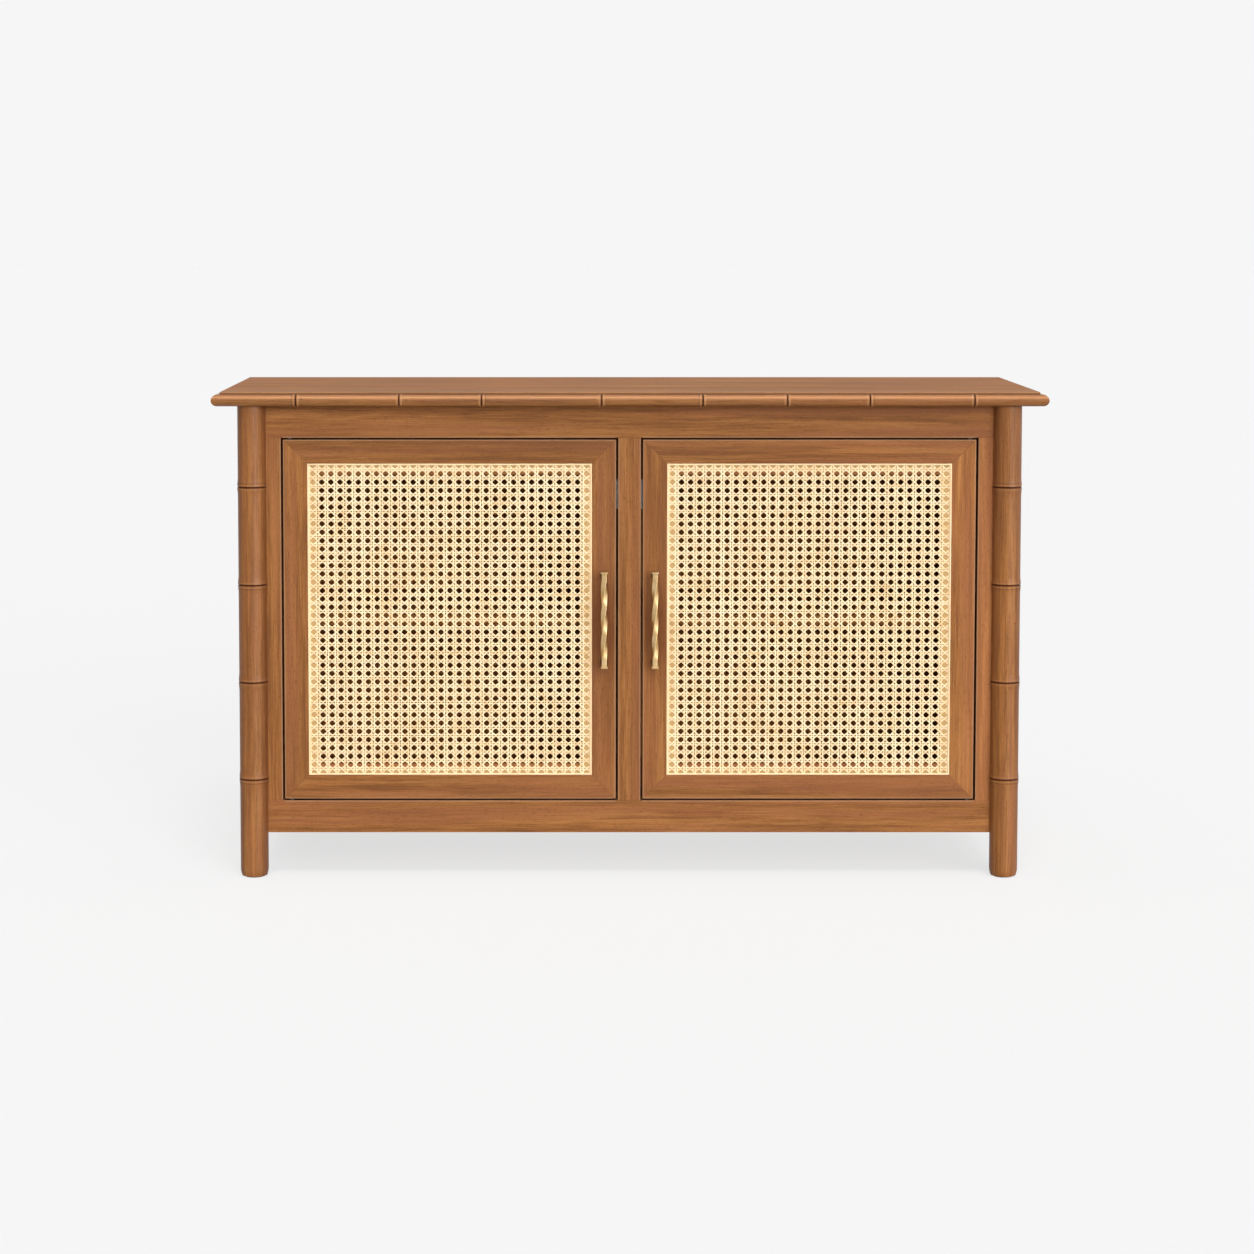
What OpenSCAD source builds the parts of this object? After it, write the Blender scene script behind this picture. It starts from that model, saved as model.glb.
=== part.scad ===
// Low cabinet with two inset doors of cane webbing, split-rod edging and turned bamboo-look legs.
// Millimetres. The origin is on the floor under the middle of the cabinet, +Z is up, the front faces -Y.
// Left-hand pieces are drawn in place, and right-hand ones are their mirror images.

/* [Overall] */
// Width over the edging
overall_w = 1300; // [1200:10:1400]
// Depth from the front of the edging to the back of the top
overall_d = 457; // [430:1:500]
// Height of the top surface above the floor
overall_h = 765; // [720:5:810]
// Height of the carcass above the floor
floor_gap = 69; // [50:1:100]

/* [Top] */
// Thickness of the top board
top_t = 22; // [20:0.5:28]
// Height of the board's own edge that stays bare above the edging
lip_h = 3.5; // [2.5:0.5:6]
// Radius of the edging rod
rod_r = 9.25; // [8:0.25:9.25]
// Distance of the rod's axis outside the board
rod_set = 3.25; // [2:0.25:5]
// Node positions along the front edging, from the middle
front_nodes = [-518, -358, -230, -44, 113, 244, 372, 534];
// Node positions along the side edging, from the middle of the depth
side_nodes = [-118, 22, 158];

/* [Legs] */
// Radius of a leg
leg_r = 22; // [20:0.5:24]
// Distance of a leg's axis from the side of the cabinet
leg_side_in = 60; // [50:1:70]
// Distance of a front leg's axis from the front of the cabinet
leg_front_in = 34.5; // [32:0.5:45]
// Distance of a rear leg's axis from the back of the cabinet
leg_back_in = 34.5; // [32:0.5:45]
// Height of the lowest node above the floor
leg_node_z = 156; // [140:1:170]
// Distance from one node to the next
leg_node_pitch = 153.3; // [145:0.1:160]
// Number of nodes on a leg
leg_nodes = 4; // [2:1:4]
// Height of the rounded foot
foot_h = 12; // [6:1:20]
// How far the foot draws in
foot_in = 2.2; // [1:0.1:4]
// Thickness of a glide under the foot
glide_t = 2; // [1.5:0.5:5]
// Radius of a glide
glide_r = 15; // [10:1:17]
// Radius of a glide's nail
nail_r = 1.5; // [1:0.1:2]
// Length of a glide's nail
nail_l = 16; // [10:1:25]

/* [Bamboo node] */
// Reach of a node's swelling on a leg, each way
leg_node_reach = 15; // [10:1:20]
// Height of the swelling on a leg
leg_node_rise = 0.9; // [0.4:0.1:1.5]
// Half width of the groove in a leg's node
leg_groove_w = 1.1; // [0.8:0.1:2.5]
// Depth of the groove in a leg's node
leg_groove_d = 1.8; // [0.6:0.1:2.2]
// Reach of a node's swelling on the edging, each way
rod_node_reach = 5.5; // [4:0.5:12]
// Height of the swelling on the edging
rod_node_rise = 0.6; // [0.3:0.1:1]
// Half width of the groove in the edging
rod_groove_w = 1.1; // [0.8:0.1:2]
// Depth of the groove in the edging
rod_groove_d = 1.7; // [0.5:0.1:2]

/* [Face frame] */
// Thickness of the face frame
frame_t = 20; // [18:0.5:24]
// Height of the top and bottom rails
rail_h = 51; // [45:1:60]
// Width of a side stile, from the leg's axis to the door opening
side_stile_w = 45.4; // [42:0.1:55]
// Width of the centre stile
centre_stile_w = 35.8; // [32:0.1:45]
// Size of the small bevel on visible edges
arris = 0.8; // [0.4:0.1:1.5]
// Length of a tenon
tenon_l = 12; // [8:1:12]
// Thickness of a tenon
tenon_t = 10; // [8:0.5:10]
// Shoulder above and below a rail's tenon
tenon_shoulder = 8; // [6:1:12]
// Shoulder at each side of a stile's tenon
stile_shoulder = 9; // [6:1:10]

/* [Carcass] */
// Thickness of the side panels, bottom, partition and rear rails
panel_t = 18; // [16:1:20]
// Thickness of the back panels
back_t = 6; // [4:0.5:8]
// Width of the rebate that a back panel lies in
back_rebate = 8; // [6:1:12]
// Gap between the two back panels
back_gap = 1; // [0.5:0.5:2]
// Thickness of a shelf
shelf_t = 16; // [14:1:20]
// Height of a shelf's underside above the floor
shelf_z = 392; // [360:1:430]
// Distance of a shelf's front edge behind the face frame
shelf_setback = 24; // [16:1:40]
// Clearance around a shelf
shelf_clear = 1; // [0.5:0.5:2]
// Radius of a shelf pin
shelf_pin_r = 2.5; // [2:0.5:3]
// Clearance of a shelf pin in its hole, all round
shelf_pin_clear = 0.05; // [0.02:0.01:0.1]
// Depth that a shelf pin goes into the panel
shelf_pin_in = 8; // [6:0.5:8]
// Length of a shelf pin
shelf_pin_l = 16; // [13:1:20]
// Distance of the pins from the shelf's front and back edges
shelf_pin_edge = 42; // [30:1:60]
// Distance from one row of pin holes to the next
shelf_row_pitch = 64; // [32:32:64]
// Radius of a cable hole
cable_r = 20; // [15:1:30]
// Height of a cable hole's middle above the bottom panel
cable_up = 90; // [60:1:120]
// Distance of a cable hole's middle from the partition
cable_side = 41; // [36:1:240]
// Wall of a cable grommet
grommet_wall = 2.5; // [2:0.5:4]
// Rim of a cable grommet beyond its hole
grommet_rim = 5; // [3:1:8]
// Thickness of a grommet's rim
grommet_rim_t = 2; // [1:0.5:3]
// Length of a back panel's screw
back_screw_l = 14; // [10:1:15]
// Distance of the inner screws of a back panel from the middle of the cabinet
back_screw_in = 148; // [100:1:200]
// Distance of the outer screws of a back panel from the leg's axis
back_screw_out = 140; // [60:1:200]
// Size across a top cleat
cleat_w = 20; // [18:1:26]
// Length of a top cleat
cleat_l = 300; // [200:10:320]
// Depth that a cleat's screws go beyond the cleat
cleat_screw_in = 10; // [6:1:14]
// Radius of a dowel between a leg and the top
dowel_r = 4; // [3:0.5:5]
// Length of a dowel in the leg
dowel_down = 22; // [15:1:30]
// Length of a dowel in the top board
dowel_up = 12; // [8:1:14]
// Distance of a dowel from the leg's axis, each way
dowel_off = 8; // [7:0.5:9]
// Distance between the two wall-strap holes
strap_pitch = 400; // [300:10:500]
// Radius of a wall-strap hole
strap_r = 2.5; // [2:0.5:3]

/* [Doors] */
// Thickness of a door
door_t = 20; // [18:0.5:22]
// Gap at each side of a door
side_gap = 3; // [2:0.1:4]
// Gap above and below a door
end_gap = 2.4; // [2:0.1:3]
// Visible width of a door's frame
member_w = 37.5; // [32:0.5:44]
// Width of the ledge that carries the cane, on a door's stiles
ledge_w = 13; // [10:0.5:16]
// Width of that ledge on a door's rails
ledge_end_w = 18; // [16.5:0.5:20]
// Depth of that ledge below the door's face
ledge_d = 4; // [3:0.5:6]
// Width of the bead that holds the cane
bead_w = 3.2; // [2.5:0.1:4]
// Depth of the bead below the door's face
bead_sink = 0.5; // [0.3:0.1:1]

/* [Cane] */
// Thickness of the cane webbing
cane_t = 1.6; // [1:0.1:2]
// Holes across
cane_cols = 15; // [10:1:16]
// Holes in height
cane_rows = 18; // [12:1:18]
// Width of a hole
cane_hole_w = 18; // [12:0.5:20]
// Height of a hole
cane_hole_h = 16.5; // [12:0.5:18]
// Corner cut off a hole
cane_hole_cut = 5; // [3:0.5:6]

/* [Pulls] */
// Overall length of a pull
pull_l = 152; // [120:1:180]
// Width of the square bar
pull_bar = 8; // [7.5:0.5:11]
// Corner taken off the bar
pull_corner = 1.5; // [0.6:0.1:2]
// Length of the twisted part
pull_twist_l = 127; // [95:1:127]
// Quarter turns in the twisted part
pull_quarters = 3; // [2:1:5]
// Size across the end cap
pull_cap_w = 10.6; // [10:0.2:13]
// Thickness of the end cap
pull_cap_t = 3.6; // [2:0.2:5]
// Distance of the bar's axis from the door
pull_off = 26; // [22:1:28]
// Radius of a pull's post
pull_post_r = 3.6; // [3.4:0.1:3.9]
// Radius of the rose at the post's foot
pull_rose_r = 5.5; // [5:0.5:7]
// Thickness of the rose
pull_rose_t = 2; // [1:0.5:3]
// Height of the pull's middle above the door's middle
pull_rise = 3; // [0:1:40]
// Radius of a pull's screw
pull_screw_r = 2; // [1.5:0.25:2]
// Length of the screw inside the post
pull_screw_in = 10; // [6:1:14]
// Radius of that screw's head
pull_head_r = 4; // [3:0.5:5]
// Thickness of that screw's head
pull_head_t = 2.6; // [2:0.2:3]

/* [Pivot hinges] */
// Distance of the pivot from the door's edge
pivot_in = 10; // [10:0.5:14]
// Distance of the pivot behind the door's face
pivot_back = 6; // [5.5:0.1:6]
// Radius of the pivot pin
pin_r = 2.5; // [2:0.25:2.75]
// Running clearance around the pin
pin_clear = 0.05; // [0.02:0.01:0.1]
// Width of a hinge plate
plate_w = 9; // [8:0.5:9]
// Thickness of a hinge plate
plate_t = 2.5; // [2:0.5:3]
// Length of a hinge plate beyond the pin
plate_l = 40; // [36:1:60]
// Length of the pin above the door's plate
pin_over = 3.5; // [2:0.5:6]
// Clearance between the washer and the door's plate
washer_gap = 0.3; // [0.1:0.1:0.5]
// Room around and beyond the end of the pin inside the door
pin_room = 0.6; // [0.4:0.1:1]
// First screw in a plate, from the pin
plate_screw_1 = 16; // [14:1:20]
// Second screw in a plate, from the pin
plate_screw_2 = 32; // [28:1:34]

/* [Catches] */
// Height of a catch above the door's middle
catch_up = 196; // [120:1:220]
// Height of a catch's case
catch_h = 46; // [40:1:60]
// Width of a catch's case
catch_w = 25; // [22:1:30]
// Depth of a catch's case
catch_d = 20; // [16:1:26]
// Depth of the case that keeps its full width in front of the ears
catch_lip = 7; // [5:0.5:9]
// Height of an ear at each end of a catch's case
catch_ear_h = 11.5; // [9:0.5:12]
// Thickness of an ear
catch_ear_t = 10; // [6:0.5:12]
// Depth that a catch's screws go into the partition
catch_screw_in = 6; // [4:0.5:7]
// Thickness of a strike plate
strike_t = 1.2; // [0.8:0.1:2]
// Width of a strike plate
strike_w = 11; // [8:1:14]
// Height of a strike plate
strike_h = 38; // [30:1:40]
// Distance of a strike plate from the door's edge
strike_edge = 1; // [0.5:0.5:4]
// Length of a strike plate's pin
strike_pin_l = 7.5; // [5:0.5:10]
// Gap between a strike plate and the catch
catch_gap = 0.3; // [0.1:0.1:0.5]
// Thickness of a catch's pole piece
pole_t = 2; // [1:0.5:3]

/* [Small screws] */
// Radius of a small screw
screw_r = 1.5; // [1:0.25:1.75]
// Radius of its head
screw_head_r = 3; // [2.5:0.25:3.5]
// Depth of its countersunk head
screw_head_t = 1.6; // [1.2:0.1:2]
// Length of a small screw
screw_l = 15; // [10:1:16]

/* [Hidden] */

// Facets of a round as it is drawn on screen
$fn = 48;
// Length that a cut runs past the face it goes through
over = 1;
// Rings on each side of a bamboo node's groove
node_rings = 5;
// Rings round a foot's curve
foot_rings = 4;
// Slices in a quarter turn of a pull
pull_slices = 9;
// Points round the outline of a pull's bar
pull_outline_points = 16;

wood = "#A56C42";
top_wood = "#AA7B5A";
inner_wood = "#8F5E3A";
cane = "#ECCFA6";
bead_cane = "#FED8A8";
brass = "#D8BD88";
steel = "#9A9A98";
nylon = "#DAD6CC";
plastic = "#3A342F";

// Levels
top_z = overall_h - top_t;
rail_top_z = floor_gap + rail_h;
head_z = top_z - rail_h;
mid_z = (rail_top_z + head_z) / 2;

// Plan positions
leg_x = overall_w / 2 - leg_side_in;
face_y = -overall_d / 2 + leg_front_in;
rear_y = overall_d / 2 - leg_back_in;
frame_back_y = face_y + frame_t;
rear_rail_y = rear_y - panel_t;
back_panel_y = rear_y - back_t;
side_inner_x = leg_x - panel_t;
opening_outer_x = leg_x - side_stile_w;
opening_inner_x = centre_stile_w / 2;

// Top board
rod_over = rod_set + rod_r + rod_node_rise;
board_w = overall_w - 2 * rod_over;
board_y0 = -overall_d / 2 + rod_over;
rod_z = overall_h - lip_h - rod_r;

// Door outline, left-hand side
door_x0 = -opening_outer_x + side_gap;
door_x1 = -opening_inner_x - side_gap;
door_z0 = rail_top_z + end_gap;
door_z1 = head_z - end_gap;
door_back_y = face_y + door_t;
inner_x0 = door_x0 + member_w + ledge_w;
inner_x1 = door_x1 - member_w - ledge_w;
inner_z0 = door_z0 + member_w + ledge_end_w;
inner_z1 = door_z1 - member_w - ledge_end_w;
mitre_z0 = door_z0 + member_w + ledge_w;
mitre_z1 = door_z1 - member_w - ledge_w;
cane_x0 = door_x0 + member_w;
cane_x1 = door_x1 - member_w;
cane_z0 = door_z0 + member_w;
cane_z1 = door_z1 - member_w;
cane_y = face_y + ledge_d - cane_t;
pull_x = door_x1 - member_w / 2;
pull_z = mid_z + pull_rise;
pull_y = face_y - pull_off;
pull_neck_l = (pull_l - pull_twist_l) / 2 - pull_cap_t;
pull_post_z = pull_twist_l / 2 + pull_neck_l / 2;
pivot_x = door_x0 + pivot_in;
pivot_y = face_y + pivot_back;
catch_z = mid_z + catch_up;
catch_y = door_back_y + strike_t + catch_gap;
catch_case_y = catch_y + pole_t / 2;
catch_screw_y = catch_case_y + (catch_lip + catch_d) / 2;
strike_x1 = door_x1 - strike_edge;
shelf_y0 = frame_back_y + shelf_setback;
shelf_y1 = back_panel_y - 2 * shelf_clear;
shelf_pin_ys = [shelf_y0 + shelf_pin_edge, shelf_y1 - shelf_pin_edge];
shelf_pin_z = shelf_z - shelf_pin_r;
cable_x = panel_t / 2 + cable_side;
cable_z = rail_top_z + cable_up;
cleat_x = side_inner_x - cleat_w / 2;
cleat_screw_ys = [-cleat_l / 3, cleat_l / 3];
back_screw_xs = [back_screw_in, leg_x - back_screw_out];
back_screw_zs = [rail_top_z - back_rebate / 2, head_z + back_rebate / 2];
catch_screw_zs = [catch_z - (catch_h - catch_ear_h) / 2, catch_z + (catch_h - catch_ear_h) / 2];

// Radius added at distance d from the middle of a bamboo node: a swelling with a groove round it
function node_shape(d, reach, rise, groove_w, groove_d) =
    rise * pow(cos(90 * min(abs(d) / reach, 1)), 2)
    - groove_d * max(0, 1 - abs(d) / groove_w);

// Distance of ring i from the middle of a node: 0 in the groove, then from its edge out to the reach
function ring_at(i, reach, groove_w) =
    sign(i) * (groove_w + (reach - groove_w) * (abs(i) - 1) / (node_rings - 1));

// Outline of a turned rod from z0 to z1, with a node at each of the positions
function rod_outline(r, z0, z1, nodes, reach, rise, groove_w, groove_d) =
    concat(
        [[0, z0], [r, z0]],
        [for (n = nodes) for (i = [-node_rings:node_rings]) let (d = ring_at(i, reach, groove_w))
            [r + node_shape(d, reach, rise, groove_w, groove_d), n + d]],
        [[r, z1], [0, z1]]
    );

module pair_in_height() {
    children();
    translate([0, 0, 2 * mid_z]) mirror([0, 0, 1]) children();
}

module both_sides() {
    children();
    mirror([1, 0, 0]) children();
}

// Upright slab: a flat outline in X and Z, extruded back from y0
module upright(y0, t) {
    translate([0, y0 + t, 0]) rotate([90, 0, 0]) linear_extrude(t) children();
}

// Round bar along +Y
module bar_y(r, l) {
    rotate([-90, 0, 0]) cylinder(r = r, h = l);
}

// Countersunk screw, its head flush with z = 0 and its shank going down
module small_screw(l = screw_l) {
    translate([0, 0, -screw_head_t]) cylinder(r1 = screw_r, r2 = screw_head_r, h = screw_head_t);
    translate([0, 0, -l]) cylinder(r = screw_r, h = l - screw_head_t);
}

// Flat rectangle about the middle, with its corners cut off
module cut_rectangle(w, h, cut) {
    x = w / 2;
    y = h / 2;
    polygon([
        [cut - x, -y], [x - cut, -y], [x, cut - y], [x, y - cut],
        [x - cut, y], [cut - x, y], [-x, y - cut], [-x, cut - y]
    ]);
}

// Bevel along the four front edges of an upright rectangle
module front_bevel(x0, x1, z0, z1) {
    side = arris * sqrt(2);
    for (z = [z0, z1])
        translate([x0 - over, face_y, z]) rotate([45, 0, 0])
            translate([0, -side / 2, -side / 2]) cube([x1 - x0 + 2 * over, side, side]);
    for (x = [x0, x1])
        translate([x, face_y, z0 - over]) rotate([0, 0, 45])
            translate([-side / 2, -side / 2, 0]) cube([side, side, z1 - z0 + 2 * over]);
}

// Top

module top_board() {
    color(top_wood) difference() {
        translate([-board_w / 2, board_y0, top_z]) cube([board_w, overall_d / 2 - board_y0, top_t]);
        leg_dowel_set();
        cleat_screws_up();
    }
}

module edging_rod(l, nodes) {
    rotate_extrude() polygon(rod_outline(rod_r, -l / 2, l / 2, nodes,
        rod_node_reach, rod_node_rise, rod_groove_w, rod_groove_d));
}

module top_edge_front() {
    reach = 2 * rod_over;
    color(wood) intersection() {
        translate([0, board_y0 - rod_set, rod_z]) rotate([0, 90, 0])
            edging_rod(board_w + 2 * reach, front_nodes);
        translate([0, 0, top_z - top_t]) linear_extrude(2 * top_t) polygon([
            [-board_w / 2, board_y0], [board_w / 2, board_y0],
            [board_w / 2 + reach, board_y0 - reach], [-board_w / 2 - reach, board_y0 - reach]]);
    }
}

module side_edge() {
    reach = 2 * rod_over;
    intersection() {
        translate([-board_w / 2 - rod_set, 0, rod_z]) rotate([-90, 0, 0])
            edging_rod(overall_d + 2 * reach, side_nodes);
        translate([0, 0, top_z - top_t]) linear_extrude(2 * top_t) polygon([
            [-board_w / 2, board_y0], [-board_w / 2 - reach, board_y0 - reach],
            [-board_w / 2 - reach, overall_d / 2], [-board_w / 2, overall_d / 2]]);
    }
}

module top_edge_left() {
    color(wood) side_edge();
}

module top_edge_right() {
    color(wood) mirror([1, 0, 0]) side_edge();
}

// Legs

// One leg about its own axis, with its inner quarter cut away for the carcass corner
module leg(rail_t) {
    difference() {
        rotate_extrude() polygon(concat(
            [for (i = [0:foot_rings])
                [leg_r - foot_in * pow(1 - i / foot_rings, 2), glide_t + foot_h * i / foot_rings]],
            [for (p = rod_outline(leg_r, 0, top_z,
                [for (i = [0:leg_nodes - 1]) leg_node_z + i * leg_node_pitch],
                leg_node_reach, leg_node_rise, leg_groove_w, leg_groove_d)) if (p[1] > foot_h + glide_t) p],
            [[0, glide_t]]
        ));
        translate([0, 0, floor_gap]) cube([2 * leg_r, 2 * leg_r, top_z]);
        for (z = [floor_gap, head_z])
            translate([-tenon_l, (rail_t - tenon_t) / 2, z + tenon_shoulder])
                cube([tenon_l + over, tenon_t, rail_h - 2 * tenon_shoulder]);
        translate([0, 0, glide_t]) cylinder(r = nail_r, h = nail_l - glide_t);
        leg_dowel();
    }
}

module leg_dowel() {
    translate([-dowel_off, -dowel_off, top_z - dowel_down])
        cylinder(r = dowel_r, h = dowel_down + dowel_up);
}

module at_front_left() {
    translate([-leg_x, face_y, 0]) children();
}

module at_rear_left() {
    translate([-leg_x, rear_y, 0]) mirror([0, 1, 0]) children();
}

module leg_dowel_set() {
    both_sides() {
        at_front_left() leg_dowel();
        at_rear_left() leg_dowel();
    }
}

module front_left_leg() {
    color(wood) at_front_left() leg(frame_t);
}

module front_right_leg() {
    color(wood) mirror([1, 0, 0]) at_front_left() leg(frame_t);
}

module rear_left_leg() {
    color(wood) at_rear_left() leg(panel_t);
}

module rear_right_leg() {
    color(wood) mirror([1, 0, 0]) at_rear_left() leg(panel_t);
}

module glide() {
    cylinder(r = glide_r, h = glide_t);
    translate([0, 0, glide_t]) cylinder(r = nail_r, h = nail_l - glide_t);
}

module foot_glides() {
    color(plastic) both_sides() {
        at_front_left() glide();
        at_rear_left() glide();
    }
}

module leg_dowels() {
    color(inner_wood) leg_dowel_set();
}

// Face frame

// Rail with a stub tenon at each end, lying between the left and right leg axes
module rail(y0, t, z0) {
    translate([-leg_x, y0, z0]) cube([2 * leg_x, t, rail_h]);
    translate([-leg_x - tenon_l, y0 + (t - tenon_t) / 2, z0 + tenon_shoulder])
        cube([2 * (leg_x + tenon_l), tenon_t, rail_h - 2 * tenon_shoulder]);
}

// Tenons at the ends of a stile from x0 to x1, which run into both rails
module stile_tenons(x0, x1) {
    translate([x0 + stile_shoulder, face_y + (frame_t - tenon_t) / 2, rail_top_z - tenon_l])
        cube([x1 - x0 - 2 * stile_shoulder, tenon_t, head_z - rail_top_z + 2 * tenon_l]);
}

module all_stile_tenons() {
    both_sides() stile_tenons(-leg_x, -opening_outer_x);
    stile_tenons(-opening_inner_x, opening_inner_x);
}

// What is cut from every member of the face frame
module frame_cuts() {
    both_sides() {
        front_bevel(-opening_outer_x, -opening_inner_x, rail_top_z, head_z);
        case_plate_places();
        case_screw_places();
    }
}

module frame_top_rail() {
    color(wood) difference() {
        rail(face_y, frame_t, head_z);
        all_stile_tenons();
        frame_cuts();
    }
}

module frame_bottom_rail() {
    color(wood) difference() {
        rail(face_y, frame_t, floor_gap);
        all_stile_tenons();
        frame_cuts();
    }
}

module side_stile() {
    difference() {
        translate([-leg_x, face_y, rail_top_z]) cube([side_stile_w, frame_t, head_z - rail_top_z]);
        front_bevel(-opening_outer_x, -opening_inner_x, rail_top_z - rail_h, head_z + rail_h);
    }
    stile_tenons(-leg_x, -opening_outer_x);
}

module frame_left_stile() {
    color(wood) side_stile();
}

module frame_right_stile() {
    color(wood) mirror([1, 0, 0]) side_stile();
}

module frame_centre_stile() {
    color(wood) {
        difference() {
            translate([-opening_inner_x, face_y, rail_top_z])
                cube([centre_stile_w, frame_t, head_z - rail_top_z]);
            both_sides()
                front_bevel(-opening_outer_x, -opening_inner_x, rail_top_z - rail_h, head_z + rail_h);
        }
        stile_tenons(-opening_inner_x, opening_inner_x);
    }
}

// Carcass

// Room for the two rear rails at the back of an upright panel
module rear_rail_rooms() {
    for (z = [floor_gap - rail_h, head_z])
        translate([-leg_x - over, rear_rail_y, z]) cube([2 * leg_x + 2 * over, panel_t + over, 2 * rail_h]);
}

module side_pin_holes() {
    for (y = shelf_pin_ys) for (row = [-1:1])
        translate([-side_inner_x - shelf_pin_in, y, shelf_pin_z + row * shelf_row_pitch])
            rotate([0, 90, 0]) cylinder(r = shelf_pin_r + shelf_pin_clear, h = shelf_pin_in + over);
}

module partition_pin_holes() {
    for (y = shelf_pin_ys) for (row = [-1:1])
        translate([-panel_t / 2 - over, y, shelf_pin_z + row * shelf_row_pitch])
            rotate([0, 90, 0]) cylinder(r = shelf_pin_r + shelf_pin_clear, h = shelf_pin_in + over);
}

module side_panel() {
    difference() {
        translate([-leg_x, frame_back_y, floor_gap])
            cube([panel_t, back_panel_y - frame_back_y, top_z - floor_gap]);
        rear_rail_rooms();
        side_pin_holes();
        cleat_screws_out();
    }
}

module left_side_panel() {
    color(wood) side_panel();
}

module right_side_panel() {
    color(wood) mirror([1, 0, 0]) side_panel();
}

module bottom_panel() {
    color(inner_wood) translate([-side_inner_x, frame_back_y, rail_top_z - panel_t])
        cube([2 * side_inner_x, rear_rail_y - frame_back_y, panel_t]);
}

module centre_partition() {
    color(inner_wood) difference() {
        translate([-panel_t / 2, frame_back_y, rail_top_z])
            cube([panel_t, back_panel_y - frame_back_y, top_z - rail_top_z]);
        rear_rail_rooms();
        both_sides() {
            partition_pin_holes();
            catch_screw_set();
        }
    }
}

module back_rebate_room() {
    translate([-leg_x - over, back_panel_y, rail_top_z - back_rebate])
        cube([2 * leg_x + 2 * over, back_t + over, head_z - rail_top_z + 2 * back_rebate]);
}

module rear_top_rail() {
    color(inner_wood) difference() {
        rail(rear_rail_y, panel_t, head_z);
        back_rebate_room();
        back_screw_set();
        for (x = [-strap_pitch / 2, strap_pitch / 2])
            translate([x, rear_rail_y - over, (head_z + back_rebate + top_z) / 2])
                bar_y(strap_r, panel_t + 2 * over);
    }
}

module rear_bottom_rail() {
    color(inner_wood) difference() {
        rail(rear_rail_y, panel_t, floor_gap);
        back_rebate_room();
        back_screw_set();
    }
}

module back_panel() {
    difference() {
        translate([-leg_x, back_panel_y, rail_top_z - back_rebate])
            cube([leg_x - back_gap / 2, back_t, head_z - rail_top_z + 2 * back_rebate]);
        translate([-cable_x, back_panel_y - over, cable_z]) bar_y(cable_r, back_t + 2 * over);
        back_screw_set();
    }
}

module left_back_panel() {
    color(inner_wood) back_panel();
}

module right_back_panel() {
    color(inner_wood) mirror([1, 0, 0]) back_panel();
}

module back_screw() {
    rotate([-90, 0, 0]) {
        cylinder(r = screw_head_r, h = screw_head_t);
        translate([0, 0, -back_screw_l]) cylinder(r = screw_r, h = back_screw_l);
    }
}

module back_screw_set() {
    both_sides() for (x = back_screw_xs) for (z = back_screw_zs)
        translate([-x, rear_y, z]) back_screw();
}

module back_panel_screws() {
    color(steel) back_screw_set();
}

module grommet() {
    difference() {
        union() {
            bar_y(cable_r, back_t);
            translate([0, back_t, 0]) bar_y(cable_r + grommet_rim, grommet_rim_t);
        }
        translate([0, -over, 0]) bar_y(cable_r - grommet_wall, back_t + grommet_rim_t + 2 * over);
    }
}

module cable_grommets() {
    color(plastic) both_sides() translate([-cable_x, back_panel_y, cable_z]) grommet();
}

module shelf() {
    translate([-side_inner_x + shelf_clear, shelf_y0, shelf_z])
        cube([side_inner_x - panel_t / 2 - 2 * shelf_clear, shelf_y1 - shelf_y0, shelf_t]);
}

module left_shelf() {
    color(inner_wood) shelf();
}

module right_shelf() {
    color(inner_wood) mirror([1, 0, 0]) shelf();
}

module shelf_pins() {
    color(steel) both_sides() for (y = shelf_pin_ys)
        for (x = [-side_inner_x - shelf_pin_in, -panel_t / 2 + shelf_pin_in - shelf_pin_l])
            translate([x, y, shelf_pin_z]) rotate([0, 90, 0]) cylinder(r = shelf_pin_r, h = shelf_pin_l);
}

module cleat_screws_up() {
    both_sides() for (y = cleat_screw_ys)
        translate([-cleat_x, y, top_z - cleat_w]) mirror([0, 0, 1]) small_screw(cleat_w + cleat_screw_in);
}

module cleat_screws_out() {
    both_sides() for (y = cleat_screw_ys)
        translate([-side_inner_x + cleat_w, y + cleat_w, top_z - cleat_w / 2])
            rotate([0, 90, 0]) small_screw(cleat_w + cleat_screw_in);
}

module top_cleats() {
    color(inner_wood) both_sides() difference() {
        translate([-side_inner_x, -cleat_l / 2, top_z - cleat_w]) cube([cleat_w, cleat_l, cleat_w]);
        cleat_screws_up();
        cleat_screws_out();
    }
}

module cleat_screws() {
    color(steel) {
        cleat_screws_up();
        cleat_screws_out();
    }
}

// Magnetic catches

module catch_screw_set() {
    for (z = catch_screw_zs)
        translate([-panel_t / 2 - catch_ear_t, catch_screw_y, z])
            rotate([0, -90, 0]) small_screw(catch_ear_t + catch_screw_in);
}

module pole_rooms() {
    for (x = [strike_x1 - strike_w, strike_x1 - pole_t])
        translate([x, catch_y, catch_z - strike_h / 2]) cube([pole_t, catch_d, strike_h]);
}

// What is cut away beside the two ears of a catch's case
module ear_rooms() {
    for (z = [catch_z - catch_h / 2 - over, catch_z + catch_h / 2 - catch_ear_h])
        translate([-panel_t / 2 - catch_w - over, catch_case_y + catch_lip, z])
            cube([catch_w - catch_ear_t + over, catch_d, catch_ear_h + over]);
}

module magnet_catches() {
    color(nylon) both_sides() difference() {
        translate([-panel_t / 2 - catch_w, catch_case_y, catch_z - catch_h / 2])
            cube([catch_w, catch_d, catch_h]);
        ear_rooms();
        catch_screw_set();
        pole_rooms();
    }
}

module catch_poles() {
    color(steel) both_sides() pole_rooms();
}

module catch_screws() {
    color(steel) both_sides() catch_screw_set();
}

// Pivot hinges: a pinned plate let into each rail, and a bored plate let into each end of the door

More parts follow.
